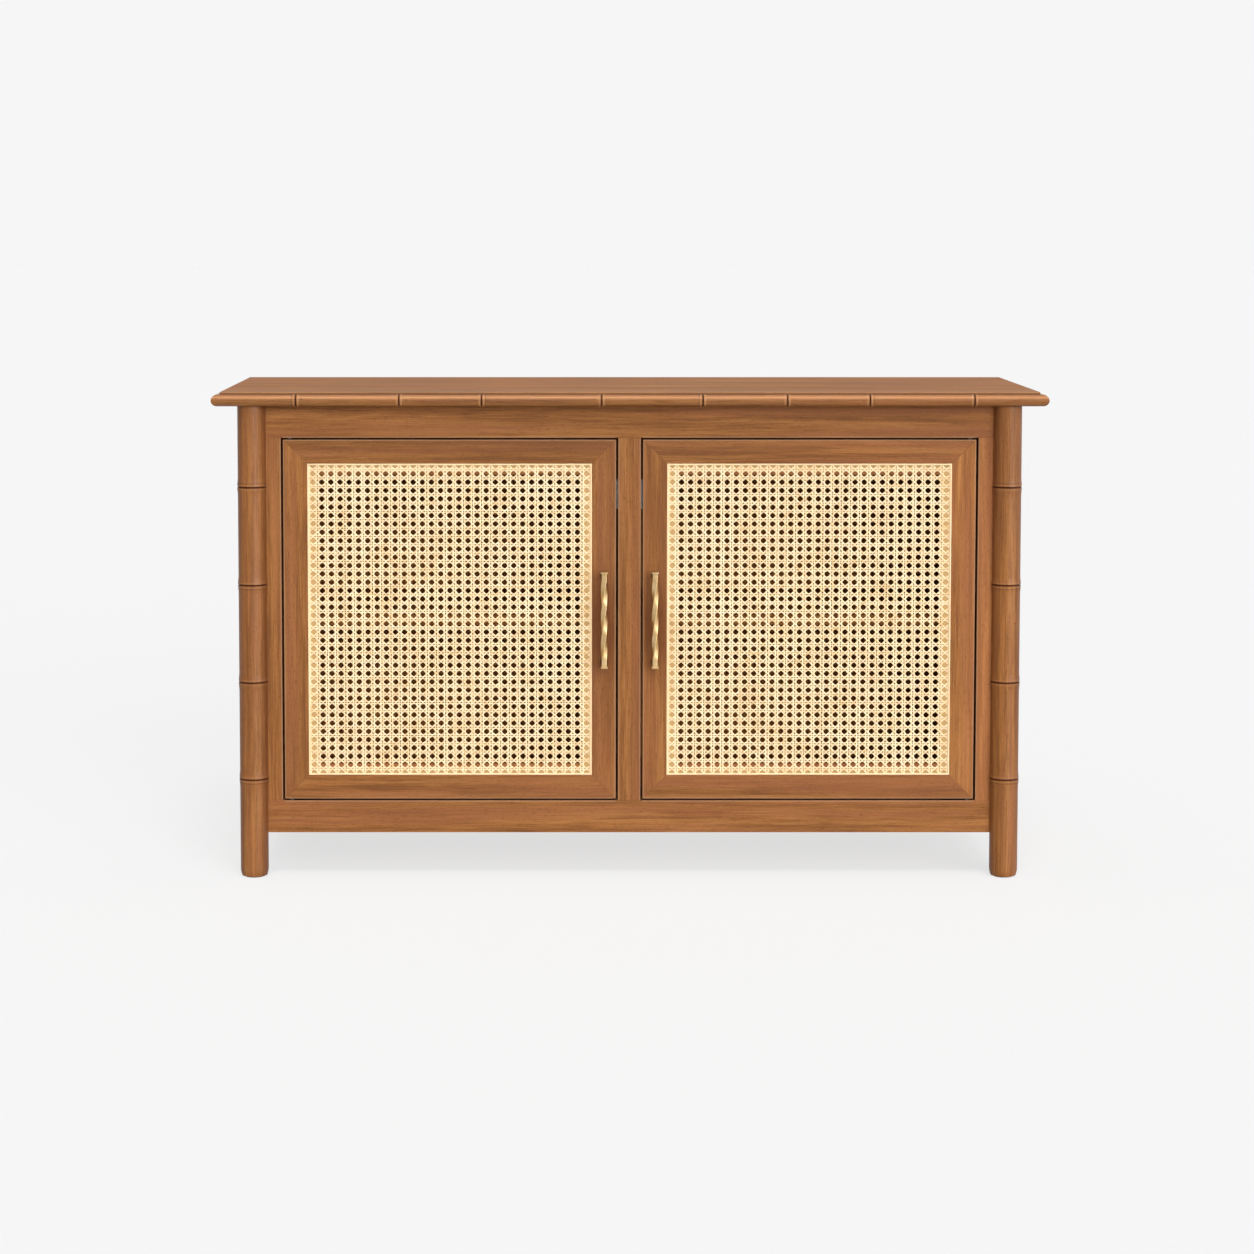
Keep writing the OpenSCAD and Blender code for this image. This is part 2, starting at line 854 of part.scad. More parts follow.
// Flat outline of a plate, with a round end about the pin
module plate_outline() {
    translate([pivot_x, pivot_y]) circle(r = plate_w / 2);
    translate([pivot_x, pivot_y - plate_w / 2]) square([plate_l, plate_w]);
}

module plate_screws(z) {
    for (x = [plate_screw_1, plate_screw_2]) translate([pivot_x + x, pivot_y, z]) small_screw();
}

module case_plate_places() {
    pair_in_height() translate([0, 0, rail_top_z - plate_t]) linear_extrude(plate_t + over) plate_outline();
}

module case_screw_places() {
    pair_in_height() plate_screws(rail_top_z);
}

module case_pivot_plates() {
    color(brass) both_sides() pair_in_height() difference() {
        union() {
            translate([0, 0, rail_top_z - plate_t]) linear_extrude(plate_t) plate_outline();
            translate([pivot_x, pivot_y, rail_top_z - plate_t])
                cylinder(r = pin_r, h = 2 * plate_t + end_gap + pin_over);
        }
        plate_screws(rail_top_z);
    }
}

module case_pivot_screws() {
    color(brass) both_sides() case_screw_places();
}

module pivot_washers() {
    color(plastic) both_sides() pair_in_height() translate([pivot_x, pivot_y, rail_top_z]) difference() {
        cylinder(r = plate_w / 2, h = end_gap - washer_gap);
        translate([0, 0, -over]) cylinder(r = pin_r + pin_clear, h = end_gap + 2 * over);
    }
}

// Doors, left-hand

module door_screws() {
    pair_in_height() mirror([0, 0, 1]) translate([0, 0, -2 * door_z0]) plate_screws(door_z0);
}

// What is cut from the door's frame
module door_cuts() {
    front_bevel(door_x0, door_x1, door_z0, door_z1);
    translate([cane_x0, face_y - over, cane_z0])
        cube([cane_x1 - cane_x0, ledge_d + over, cane_z1 - cane_z0]);
    pair_in_height() {
        translate([0, 0, door_z0 - over]) linear_extrude(plate_t + over) plate_outline();
        translate([pivot_x, pivot_y, door_z0])
            cylinder(r = pin_r + pin_room, h = plate_t + pin_over + pin_room);
    }
    door_screws();
    pull_screw_set();
    strike_pin();
}

// Mitred member of the door's frame, from its flat outline
module door_member(outline) {
    difference() {
        upright(face_y, door_t) polygon(outline);
        door_cuts();
    }
}

module door_top_rail() {
    door_member([[door_x0, door_z1], [door_x1, door_z1], [inner_x1, mitre_z1],
        [inner_x1, inner_z1], [inner_x0, inner_z1], [inner_x0, mitre_z1]]);
}

module door_bottom_rail() {
    door_member([[door_x0, door_z0], [inner_x0, mitre_z0], [inner_x0, inner_z0],
        [inner_x1, inner_z0], [inner_x1, mitre_z0], [door_x1, door_z0]]);
}

module door_hinge_stile() {
    door_member([[door_x0, door_z0], [door_x0, door_z1], [inner_x0, mitre_z1], [inner_x0, mitre_z0]]);
}

module door_pull_stile() {
    door_member([[door_x1, door_z0], [inner_x1, mitre_z0], [inner_x1, mitre_z1], [door_x1, door_z1]]);
}

// Webbing laid on the ledge, its holes spread evenly inside the bead
module cane_panel() {
    pitch_x = (cane_x1 - cane_x0 - 2 * bead_w) / cane_cols;
    pitch_z = (cane_z1 - cane_z0 - 2 * bead_w) / cane_rows;
    upright(cane_y, cane_t) difference() {
        translate([cane_x0, cane_z0]) square([cane_x1 - cane_x0, cane_z1 - cane_z0]);
        for (i = [0:cane_cols - 1]) for (j = [0:cane_rows - 1])
            translate([cane_x0 + bead_w + (i + 0.5) * pitch_x, cane_z0 + bead_w + (j + 0.5) * pitch_z])
                cut_rectangle(cane_hole_w, cane_hole_h, cane_hole_cut);
    }
}

// Bead pressed down on the edge of the webbing all round
module cane_bead() {
    opening_w = cane_x1 - cane_x0;
    opening_h = cane_z1 - cane_z0;
    upright(face_y + bead_sink, ledge_d - cane_t - bead_sink) difference() {
        translate([cane_x0, cane_z0]) square([opening_w, opening_h]);
        translate([cane_x0 + bead_w, cane_z0 + bead_w])
            square([opening_w - 2 * bead_w, opening_h - 2 * bead_w]);
    }
}

module pull_section() {
    cut_rectangle(pull_bar, pull_bar, pull_corner);
}

// Half of a pull's end: neck, cap and the post that carries it on the door
module pull_end() {
    translate([0, 0, pull_twist_l / 2]) linear_extrude(pull_neck_l) pull_section();
    translate([-pull_cap_w / 2, -pull_cap_w / 2, pull_l / 2 - pull_cap_t])
        cube([pull_cap_w, pull_cap_w, pull_cap_t]);
    translate([0, 0, pull_post_z]) bar_y(pull_post_r, pull_off);
    translate([0, pull_off - pull_rose_t, pull_post_z]) bar_y(pull_rose_r, pull_rose_t);
}

module pull() {
    slices = pull_slices * pull_quarters;
    difference() {
        translate([pull_x, pull_y, pull_z]) {
            translate([0, 0, -pull_twist_l / 2])
                linear_extrude(pull_twist_l, twist = -90 * pull_quarters,
                    slices = slices, segments = pull_outline_points) pull_section();
            pull_end();
            mirror([0, 0, 1]) pull_end();
        }
        pull_screw_set();
    }
}

module pull_screw_set() {
    for (s = [-1, 1]) translate([pull_x, face_y - pull_screw_in, pull_z + s * pull_post_z]) {
        bar_y(pull_screw_r, pull_screw_in + door_t);
        translate([0, pull_screw_in + door_t, 0]) bar_y(pull_head_r, pull_head_t);
    }
}

module door_pivot_plates() {
    pair_in_height() difference() {
        translate([0, 0, door_z0]) linear_extrude(plate_t) plate_outline();
        translate([pivot_x, pivot_y, door_z0 - over])
            cylinder(r = pin_r + pin_clear, h = plate_t + 2 * over);
        door_screws();
    }
}

module strike_pin() {
    translate([strike_x1 - strike_w / 2, door_back_y - strike_pin_l, catch_z])
        bar_y(screw_r, strike_pin_l);
}

module strike_plate() {
    translate([strike_x1 - strike_w, door_back_y, catch_z - strike_h / 2])
        cube([strike_w, strike_t, strike_h]);
    strike_pin();
}

module left_door_hinge_stile() {
    color(wood) door_hinge_stile();
}

module left_door_pull_stile() {
    color(wood) door_pull_stile();
}

module left_door_top_rail() {
    color(wood) door_top_rail();
}

module left_door_bottom_rail() {
    color(wood) door_bottom_rail();
}

module left_cane_panel() {
    color(cane) cane_panel();
}

module left_cane_bead() {
    color(bead_cane) cane_bead();
}

module left_pull() {
    color(brass) pull();
}

module left_pull_screws() {
    color(steel) pull_screw_set();
}

module left_door_pivot_plates() {
    color(brass) door_pivot_plates();
}

module left_door_pivot_screws() {
    color(brass) door_screws();
}

module left_strike_plate() {
    color(steel) strike_plate();
}

module right_door_hinge_stile() {
    color(wood) mirror([1, 0, 0]) door_hinge_stile();
}

module right_door_pull_stile() {
    color(wood) mirror([1, 0, 0]) door_pull_stile();
}

module right_door_top_rail() {
    color(wood) mirror([1, 0, 0]) door_top_rail();
}

module right_door_bottom_rail() {
    color(wood) mirror([1, 0, 0]) door_bottom_rail();
}

module right_cane_panel() {
    color(cane) mirror([1, 0, 0]) cane_panel();
}

module right_cane_bead() {
    color(bead_cane) mirror([1, 0, 0]) cane_bead();
}

// The right pull turns the same way as the left one, so it is moved across and not mirrored
module right_pull() {
    color(brass) translate([-2 * pull_x, 0, 0]) pull();
}

module right_pull_screws() {
    color(steel) mirror([1, 0, 0]) pull_screw_set();
}

module right_door_pivot_plates() {
    color(brass) mirror([1, 0, 0]) door_pivot_plates();
}

module right_door_pivot_screws() {
    color(brass) mirror([1, 0, 0]) door_screws();
}

module right_strike_plate() {
    color(steel) mirror([1, 0, 0]) strike_plate();
}

top_board();
top_edge_front();
top_edge_left();
top_edge_right();
front_left_leg();
front_right_leg();
rear_left_leg();
rear_right_leg();
foot_glides();
leg_dowels();
frame_top_rail();
frame_bottom_rail();
frame_left_stile();
frame_right_stile();
frame_centre_stile();
left_side_panel();
right_side_panel();
bottom_panel();
centre_partition();
rear_top_rail();
rear_bottom_rail();
left_back_panel();
right_back_panel();
back_panel_screws();
cable_grommets();
left_shelf();
right_shelf();
shelf_pins();
top_cleats();
cleat_screws();
magnet_catches();
catch_poles();
catch_screws();
case_pivot_plates();
case_pivot_screws();
pivot_washers();
left_door_hinge_stile();
left_door_pull_stile();
left_door_top_rail();
left_door_bottom_rail();
left_cane_panel();
left_cane_bead();
left_pull();
left_pull_screws();
left_door_pivot_plates();
left_door_pivot_screws();
left_strike_plate();
right_door_hinge_stile();
right_door_pull_stile();
right_door_top_rail();
right_door_bottom_rail();
right_cane_panel();
right_cane_bead();
right_pull();
right_pull_screws();
right_door_pivot_plates();
right_door_pivot_screws();
right_strike_plate();
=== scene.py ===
import math
import random

import bpy
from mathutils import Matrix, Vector


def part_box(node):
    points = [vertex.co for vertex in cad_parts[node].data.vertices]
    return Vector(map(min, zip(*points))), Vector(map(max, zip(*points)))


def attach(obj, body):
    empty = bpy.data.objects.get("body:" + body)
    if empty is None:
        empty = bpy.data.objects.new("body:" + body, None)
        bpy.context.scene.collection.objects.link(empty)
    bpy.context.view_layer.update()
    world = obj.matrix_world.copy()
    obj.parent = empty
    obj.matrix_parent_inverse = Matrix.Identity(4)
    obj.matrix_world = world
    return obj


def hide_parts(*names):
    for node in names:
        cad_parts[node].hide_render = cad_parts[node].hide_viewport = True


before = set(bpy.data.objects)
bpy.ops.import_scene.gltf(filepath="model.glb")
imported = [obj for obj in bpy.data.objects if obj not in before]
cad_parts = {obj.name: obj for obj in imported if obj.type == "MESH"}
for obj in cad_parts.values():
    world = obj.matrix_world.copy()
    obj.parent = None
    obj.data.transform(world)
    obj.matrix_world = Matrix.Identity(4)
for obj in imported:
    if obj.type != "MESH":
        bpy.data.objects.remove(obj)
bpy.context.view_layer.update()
mm = 0.001


def sayStage(text):
    print("console:", text)


def hexLinear(code):
    # sRGB hex to the linear values that the nodes take
    parts = [int(code[i:i + 2], 16) / 255 for i in (1, 3, 5)]
    linear = [c / 12.92 if c <= 0.04045 else ((c + 0.055) / 1.055) ** 2.4 for c in parts]
    return (*linear, 1.0)


def addNode(tree, kind, settings=None, links=None, stops=None):
    # one node, its values by socket or property name, its incoming links, each from a socket or from a node's
    # first output, and the colours of a ramp
    node = tree.nodes.new(kind)
    for key, value in (settings or {}).items():
        if isinstance(key, int) or (key in node.inputs and not hasattr(node, key)):
            node.inputs[key].default_value = value
        else:
            setattr(node, key, value)
    for key, source in (links or {}).items():
        socket = source if isinstance(source, bpy.types.NodeSocket) else source.outputs[0]
        tree.links.new(socket, node.inputs[key])
    for i, (place, colour) in enumerate(stops or []):
        ramp = node.color_ramp.elements
        stop = ramp[i] if i < len(ramp) else ramp.new(place)
        stop.position = place
        stop.color = colour
    return node


def emptyTree(block):
    # the node tree of a new material or world, with nothing in it
    block.use_nodes = True
    block.node_tree.nodes.clear()
    return block.node_tree


def addPiece(name, verts, faces, material):
    # a smooth-shaded piece in one material
    mesh = bpy.data.meshes.new(name)
    mesh.from_pydata(verts, [], faces)
    mesh.shade_smooth()
    mesh.materials.append(material)
    piece = bpy.data.objects.new(name, mesh)
    bpy.context.scene.collection.objects.link(piece)
    return piece


def addTube(verts, faces, rings):
    # a closed skin through rings of equally many points
    first, around = len(verts), len(rings[0])
    for ring in rings:
        verts.extend(ring)
    for i in range(len(rings) - 1):
        a, b = first + i * around, first + (i + 1) * around
        faces.extend((a + k, a + (k + 1) % around, b + (k + 1) % around, b + k) for k in range(around))
    faces.append(tuple(first + k for k in reversed(range(around))))
    last = first + (len(rings) - 1) * around
    faces.append(tuple(last + k for k in range(around)))


# Camera, floor and light

photoView = {
    "pixels": 1254,                         # side of the square picture that the camera is set for
    "place": (-0.0970, -4.8137, 1.0299),    # m, in front of the doors and a little above the top
    "pitchDown": 4.2,                       # degrees
    "focalPixels": 2968,
    "sensor": 36,                           # mm
    "shift": (0.0475, -0.15),
    "clip": (0.05, 400),                    # m
}

studio = {
    "background": "#F6F6F6",
    "white": "#FFFFFF",
    "skyLevel": 0.52,          # straight in front and overhead
    "skySideDrop": 0.50,       # lost towards both sides, where the studio's walls are dark
    "mirrorLevel": 1.0,        # the same two values as reflections show them
    "mirrorSideDrop": 0.60,
    # level, degrees right of the front, degrees above the horizon, degrees spanned, and what it lights
    "lamps": {
        "keyLight": (1.15, 30, 12, 48, "matt"),
        "fillLight": (1.92, 14, 9, 50, "matt"),    # light off the room's walls, which reflections show anyway
        "topLight": (1.12, 0, 62, 24, "both"),
        "stripCard": (1.10, 38, 5, 20, "gloss"),   # cards that only reflections show: a glint on round pieces
        "sideCard": (3.00, 76, 16, 80, "gloss"),
    },
    "floorColour": "#B4B4B4",  # as it lights the cabinet from below
    "floorShown": "#8A8A8A",   # as it is seen, with a glow added that keeps the shadow faint
    "floorGlow": 0.693,
    "floorSide": 120,          # m
}


def makeCamera():
    data = bpy.data.cameras.new("photoCamera")
    data.sensor_width = photoView["sensor"]
    data.lens = photoView["focalPixels"] / photoView["pixels"] * photoView["sensor"]
    data.shift_x, data.shift_y = photoView["shift"]
    data.clip_start, data.clip_end = photoView["clip"]
    camera = bpy.data.objects.new("photoCamera", data)
    camera.location = photoView["place"]
    camera.rotation_euler = (math.radians(90 - photoView["pitchDown"]), 0, 0)
    bpy.context.scene.collection.objects.link(camera)
    bpy.context.scene.camera = camera


def seenRays(tree):
    # 1 for the rays that show a backdrop: straight from the camera, by reflection or through glass
    path = addNode(tree, "ShaderNodeLightPath")
    either = addNode(tree, "ShaderNodeMath", {"operation": "MAXIMUM"},
                     {0: path.outputs["Is Camera Ray"], 1: path.outputs["Is Glossy Ray"]})
    return addNode(tree, "ShaderNodeMath", {"operation": "MAXIMUM"},
                   {0: either, 1: path.outputs["Is Transmission Ray"]})


def makeWorld():
    # an even pale backdrop for the camera; light and reflections get a sky that is darker to the sides
    world = bpy.data.worlds.new("paleStudio")
    bpy.context.scene.world = world
    tree = emptyTree(world)
    way = addNode(tree, "ShaderNodeTexCoord").outputs["Generated"]
    sideways = addNode(tree, "ShaderNodeSeparateXYZ", None, {0: way}).outputs["X"]
    squared = addNode(tree, "ShaderNodeMath", {"operation": "MULTIPLY"}, {0: sideways, 1: sideways})
    level = addNode(tree, "ShaderNodeMath", {
        "operation": "MULTIPLY_ADD", 1: -studio["skySideDrop"], 2: studio["skyLevel"]}, {0: squared})
    mirrored = addNode(tree, "ShaderNodeMath", {
        "operation": "MULTIPLY_ADD", 1: -studio["mirrorSideDrop"], 2: studio["mirrorLevel"]}, {0: squared})
    direct = addNode(tree, "ShaderNodeLightPath").outputs["Is Camera Ray"]
    plain = addNode(tree, "ShaderNodeMath", {"operation": "MAXIMUM"}, {0: mirrored, 1: direct})
    light = addNode(tree, "ShaderNodeBackground", {"Color": hexLinear(studio["white"])},
                    {"Strength": level})
    shown = addNode(tree, "ShaderNodeBackground", {"Color": hexLinear(studio["background"])},
                    {"Strength": plain})
    mixed = addNode(tree, "ShaderNodeMixShader", None,
                    {0: seenRays(tree), 1: light, 2: shown})
    addNode(tree, "ShaderNodeOutputWorld", None, {0: mixed})


def hangLamps():
    for name, (level, azimuth, height, softness, lights) in studio["lamps"].items():
        lamp = bpy.data.lights.new(name, "SUN")
        lamp.energy = level
        lamp.angle = math.radians(softness)
        holder = bpy.data.objects.new(name, lamp)
        holder.visible_glossy = lights != "matt"
        holder.visible_diffuse = lights != "gloss"
        a, e = math.radians(azimuth), math.radians(height)
        towards = Vector((math.sin(a) * math.cos(e), -math.cos(a) * math.cos(e), math.sin(e)))
        holder.rotation_mode = "QUATERNION"
        holder.rotation_quaternion = towards.to_track_quat("Z", "Y")
        bpy.context.scene.collection.objects.link(holder)


def layFloor():
    # painted matt floor: it keeps the cabinet's shadow and is otherwise as pale as the backdrop
    material = bpy.data.materials.new("paleFloor")
    tree = emptyTree(material)
    matt = addNode(tree, "ShaderNodeBsdfDiffuse", {"Color": hexLinear(studio["floorColour"])})
    pale = addNode(tree, "ShaderNodeBsdfDiffuse", {"Color": hexLinear(studio["floorShown"])})
    lift = addNode(tree, "ShaderNodeEmission", {
        "Color": hexLinear(studio["white"]), "Strength": studio["floorGlow"]})
    shown = addNode(tree, "ShaderNodeAddShader", None, {0: pale, 1: lift})
    both = addNode(tree, "ShaderNodeMixShader", None,
                   {0: seenRays(tree), 1: matt, 2: shown})
    addNode(tree, "ShaderNodeOutputMaterial", None, {0: both})
    half = studio["floorSide"] / 2
    corners = [(-half, -half, 0), (half, -half, 0), (half, half, 0), (-half, half, 0)]
    floor = addPiece("studioFloor", corners, [(0, 1, 2, 3)], material)


makeCamera()
makeWorld()
hangLamps()
layFloor()
bpy.context.scene.view_settings.view_transform = "Standard"
sayStage("camera, floor and light are set")


# Materials

polymerIor = 1.5               # of lacquer, cane peel and moulded plastic
patternReach = 3.0             # m, at most, that a pattern is moved so that no two pieces look alike


def randomShift(seed):
    pick = random.Random(seed)
    return tuple(pick.uniform(-patternReach, patternReach) for axis in range(3))


paints = {
    "glazeAndShade": "#451A08",        # dark glaze on knots and rings, and painted shade with glaze in grooves and corners
    "ridgeHighlight": "#C58F5E",        # painted highlight on the ridges beside a groove
    "crestHighlight": "#BC7C42",        # painted highlight along a rod's upper side, where the light from above falls
    "paleAtEdges": "#AE8766",      # paler at edges: at the doors' gaps a painted highlight where the arris catches light, with the stain thinned there; also paler towards the top board's front edge
    "deep": "#5A2C15",         # painted shade inside the doors' gaps and on the flanks of the front legs
    "bare": "#C6A06A",         # the ledge under the webbing, never stained, in the shade of the strands
    "pullShadow": "#5C2D08",      # painted shadow on the wood round the pulls
}


def lineMark(axis, at, style, within=()):
    # a painted line along the plane axis = at (m), between the limits
    paint, half, fade, share = style
    return {"axis": axis, "at": at, "paint": paint, "half": half * mm, "fade": fade * mm, "share": share,
            "within": within}


def spotMark(centre, radius, style, squeeze=(1, 1, 1)):
    # a painted spot of that radius (mm); squeeze under 1 makes it longer along that axis
    paint, core, share = style
    return {"centre": centre, "paint": paint, "half": radius * core * mm, "fade": radius * mm,
            "share": share, "within": (), "squeeze": squeeze}


def paintMarks(tree, colour, marks):
    # lays each mark over the wood's colour
    place = addNode(tree, "ShaderNodeTexCoord").outputs["Object"]
    parts = addNode(tree, "ShaderNodeSeparateXYZ", None, {0: place}).outputs
    for mark in marks:
        if "centre" in mark:
            offset = addNode(tree, "ShaderNodeVectorMath", {"operation": "SUBTRACT", 1: mark["centre"]},
                             {0: place})
            scaled = addNode(tree, "ShaderNodeVectorMath", {"operation": "MULTIPLY", 1: mark["squeeze"]},
                             {0: offset})
            away = addNode(tree, "ShaderNodeVectorMath", {"operation": "LENGTH"},
                           {0: scaled}).outputs["Value"]
        else:
            gap = addNode(tree, "ShaderNodeMath", {"operation": "SUBTRACT", 1: mark["at"]},
                          {0: parts["xyz".index(mark["axis"])]})
            away = addNode(tree, "ShaderNodeMath", {"operation": "ABSOLUTE"}, {0: gap})
        share = addNode(tree, "ShaderNodeMapRange", {
            "interpolation_type": "SMOOTHSTEP",
            "From Min": mark["half"], "From Max": mark["fade"], "To Min": mark["share"], "To Max": 0.0},
            {"Value": away})
        for axis, low, high in mark["within"]:
            gap = addNode(tree, "ShaderNodeMath", {"operation": "SUBTRACT", 1: (low + high) / 2},
                          {0: parts["xyz".index(axis)]})
            off = addNode(tree, "ShaderNodeMath", {"operation": "ABSOLUTE"}, {0: gap})
            inside = addNode(tree, "ShaderNodeMath", {"operation": "LESS_THAN", 1: (high - low) / 2},
                             {0: off})
            share = addNode(tree, "ShaderNodeMath", {"operation": "MULTIPLY"},
                            {0: share, 1: inside})
        colour = addNode(tree, "ShaderNodeMix", {"data_type": "RGBA", 7: hexLinear(paints[mark["paint"]])},
                         {0: share, 6: colour}).outputs[2]
    return colour


stain = {
    # rubberwood with a warm brown stain under satin lacquer: even, low in contrast, with fine streaks
    "frame": {"dark": "#774924", "mid": "#915D2D", "light": "#A7703E", "rosy": "#965D3A",
              "rough": 0.50, "gloss": 0.16, "coarse": 1.0},
    "turned": {"dark": "#77481F", "mid": "#8F5A2A", "light": "#A97039", "rosy": "#955D37",
               "rough": 0.40, "gloss": 0.26, "coarse": 1.0},
    "top": {"dark": "#7E4E27", "mid": "#976332", "light": "#AB7641", "rosy": "#9E6640",
            "rough": 0.72, "gloss": 0.25, "coarse": 2.4},
    "edging": {"dark": "#6D4017", "mid": "#845021", "light": "#98632C", "rosy": "#885129",
               "rough": 0.28, "gloss": 0.40, "coarse": 1.0},
    "inner": {"dark": "#945D2A", "mid": "#A46C36", "light": "#B17B41", "rosy": "#A7703B",
              "rough": 0.62, "gloss": 0.10, "coarse": 1.0},
    "stops": (0.38, 0.50, 0.62),             # noise at which the dark, mid and light tones stand
    "firstSeed": 40,
    "cloudAcross": 34.0,       # mm between lighter and darker zones
    "cloudAlong": 260.0,
    "cloudShare": 0.11,        # of the tone, up and down
    "figureAcross": 20.0,      # mm between the rosy and golden bands
    "figureAlong": 480.0,
    "figure": {"From Min": 0.42, "From Max": 0.62, "To Min": 0.1, "To Max": 0.6},    # noise to rosy share
    "streakAcross": 9.0,       # mm between streaks
    "streakAlong": 360.0,      # mm that a streak runs
    "grainAcross": 1.8,        # mm, drawn coarser than the real 0.5 so that it shows
    "grainAlong": 70.0,
    "grainShare": 0.45,        # of fine grain in the tone, the rest is streak
    "fleckAcross": 0.8,        # mm, pores drawn twice as wide as real ones
    "fleckAlong": 7.0,
    "detail": {"cloud": 2.0, "figure": 1.0, "streak": 3.0, "grain": 2.0, "fleck": 0.0},    # of each noise
    "noiseRough": 0.55,
    "wander": 3.5,             # mm that the grain lines stray sideways
    "wanderLength": 130.0,
    "wanderDetail": 2.0,
    "mostNoise": (0.3, 0.7),   # the range that noise seldom leaves
    "roughDown": 0.05,         # that the grain takes from the roughness, and adds to it
    "roughUp": 0.07,
    "pore": "#64391A",
    "poreShare": 0.45,
    "poreNoise": {"From Min": 0.64, "From Max": 0.74},
    "poreDepth": 0.10,         # mm
    "poreBump": 0.5,
}

grainTurns = {
    # turns that lay the grain, drawn along X, along the piece
    "x": (0, 0, 0),
    "y": (0, 0, math.radians(90)),
    "z": (0, math.radians(90), 0),
}


def stainedRubberwood(name, look, grain, seed, tone, marks):
    # the grain runs along the axis given; tone lightens or darkens the whole board; marks are painted last
    colours = stain[look]
    lowNoise, highNoise = stain["mostNoise"]
    material = bpy.data.materials.new(name)
    tree = emptyTree(material)
    place = addNode(tree, "ShaderNodeTexCoord").outputs["Object"]
    laid = addNode(tree, "ShaderNodeMapping", {
        "Location": randomShift(seed), "Rotation": grainTurns[grain]}, {"Vector": place})
    wobble = addNode(tree, "ShaderNodeTexNoise", {
        "Scale": 1 / (stain["wanderLength"] * mm), "Detail": stain["wanderDetail"]}, {"Vector": laid})
    centred = addNode(tree, "ShaderNodeVectorMath", {"operation": "SUBTRACT", 1: (0.5, 0.5, 0.5)},
                      {0: wobble.outputs["Color"]})
    sway = stain["wander"] * 2 * mm
    strayed = addNode(tree, "ShaderNodeVectorMath", {"operation": "MULTIPLY", 1: (0, sway, sway)},
                      {0: centred})
    wandering = addNode(tree, "ShaderNodeVectorMath", {"operation": "ADD"}, {0: laid, 1: strayed})
    layers = {}
    for part, detail in stain["detail"].items():
        along = 1 / (stain[part + "Along"] * mm)
        coarse = 1.0 if part == "fleck" else colours["coarse"]      # pores stay the same size on every board
        across = 1 / (stain[part + "Across"] * coarse * mm)
        stretched = addNode(tree, "ShaderNodeVectorMath", {
            "operation": "MULTIPLY", 1: (along, across, across)}, {0: wandering})
        layers[part] = addNode(tree, "ShaderNodeTexNoise", {
            "Scale": 1.0, "Detail": detail, "Roughness": stain["noiseRough"]},
            {"Vector": stretched}).outputs["Fac"]
    blended = addNode(tree, "ShaderNodeMix", {"data_type": "FLOAT", 0: stain["grainShare"]},
                      {2: layers["streak"], 3: layers["grain"]})
    shades = [hexLinear(colours[shade]) for shade in ("dark", "mid", "light")]
    ramp = addNode(tree, "ShaderNodeValToRGB", None, {"Fac": blended},
                   list(zip(stain["stops"], shades)))
    blush = addNode(tree, "ShaderNodeMapRange", stain["figure"], {"Value": layers["figure"]})
    rosy = addNode(tree, "ShaderNodeMix", {"data_type": "RGBA", 7: hexLinear(colours["rosy"])},
                   {0: blush, 6: ramp})
    pores = addNode(tree, "ShaderNodeMapRange", stain["poreNoise"], {"Value": layers["fleck"]})
    poreShade = addNode(tree, "ShaderNodeMath", {"operation": "MULTIPLY", 1: stain["poreShare"]},
                        {0: pores})
    flecked = addNode(tree, "ShaderNodeMix", {"data_type": "RGBA", 7: hexLinear(stain["pore"])},
                      {0: poreShade, 6: rosy.outputs[2]})
    cloudy = addNode(tree, "ShaderNodeMapRange", {
        "From Min": lowNoise, "From Max": highNoise, "To Min": tone * (1 - stain["cloudShare"]),
        "To Max": tone * (1 + stain["cloudShare"])}, {"Value": layers["cloud"]})
    toned = addNode(tree, "ShaderNodeVectorMath", {"operation": "SCALE"},
                    {0: flecked.outputs[2], "Scale": cloudy})
    colour = paintMarks(tree, toned, marks) if marks else toned
    rough = addNode(tree, "ShaderNodeMapRange", {
        "From Min": lowNoise, "From Max": highNoise, "To Min": colours["rough"] - stain["roughDown"],
        "To Max": colours["rough"] + stain["roughUp"]}, {"Value": layers["grain"]})
    dents = addNode(tree, "ShaderNodeMath", {"operation": "MULTIPLY_ADD", 1: -1.0, 2: 1.0},
                    {0: pores})
    relief = addNode(tree, "ShaderNodeBump", {
        "Strength": stain["poreBump"], "Distance": stain["poreDepth"] * mm}, {"Height": dents})
    lacquer = addNode(tree, "ShaderNodeBsdfPrincipled", {
        "IOR": polymerIor, "Specular IOR Level": colours["gloss"]},
        {"Base Color": colour, "Roughness": rough, "Normal": relief})
    addNode(tree, "ShaderNodeOutputMaterial", None, {0: lacquer})
    return material


caneSkin = {
    # rattan peel, split and scraped: a glossy cream skin with faint yellow and pink tints along each strand
    "web": ("#E4B97A", "#FADBAA", "#FFEAC2"),
    "webPink": "#FBD8AC",
    "reed": ("#F6CF9B", "#FFDFAF", "#FFE9C4"),
    "reedPink": "#FFDBAA",
    "stops": (0.30, 0.52, 0.74),
    "broad": 38.0,             # mm between paler and yellower stretches
    "broadDetail": 3.0,
    "fine": 2.2,               # mm between bundles of fibres, drawn coarser than real ones so that they show
    "fineDetail": 2.0,
    "noiseRough": 0.6,
    "level": -0.165,           # of the tone, before the shares below are added
    "broadShare": 0.40,
    "fineShare": 0.85,
    "strandShare": 0.25,       # of the tone that each strand has by itself
    "pink": 90.0,              # mm between pinkish stretches
    "pinkDetail": 1.0,
    "pinkNoise": {"From Min": 0.5, "From Max": 0.75, "To Min": 0.0, "To Max": 0.3},
    "rough": 0.42,
    "fibreDepth": 0.08,        # mm
    "fibreBump": 0.3,
}


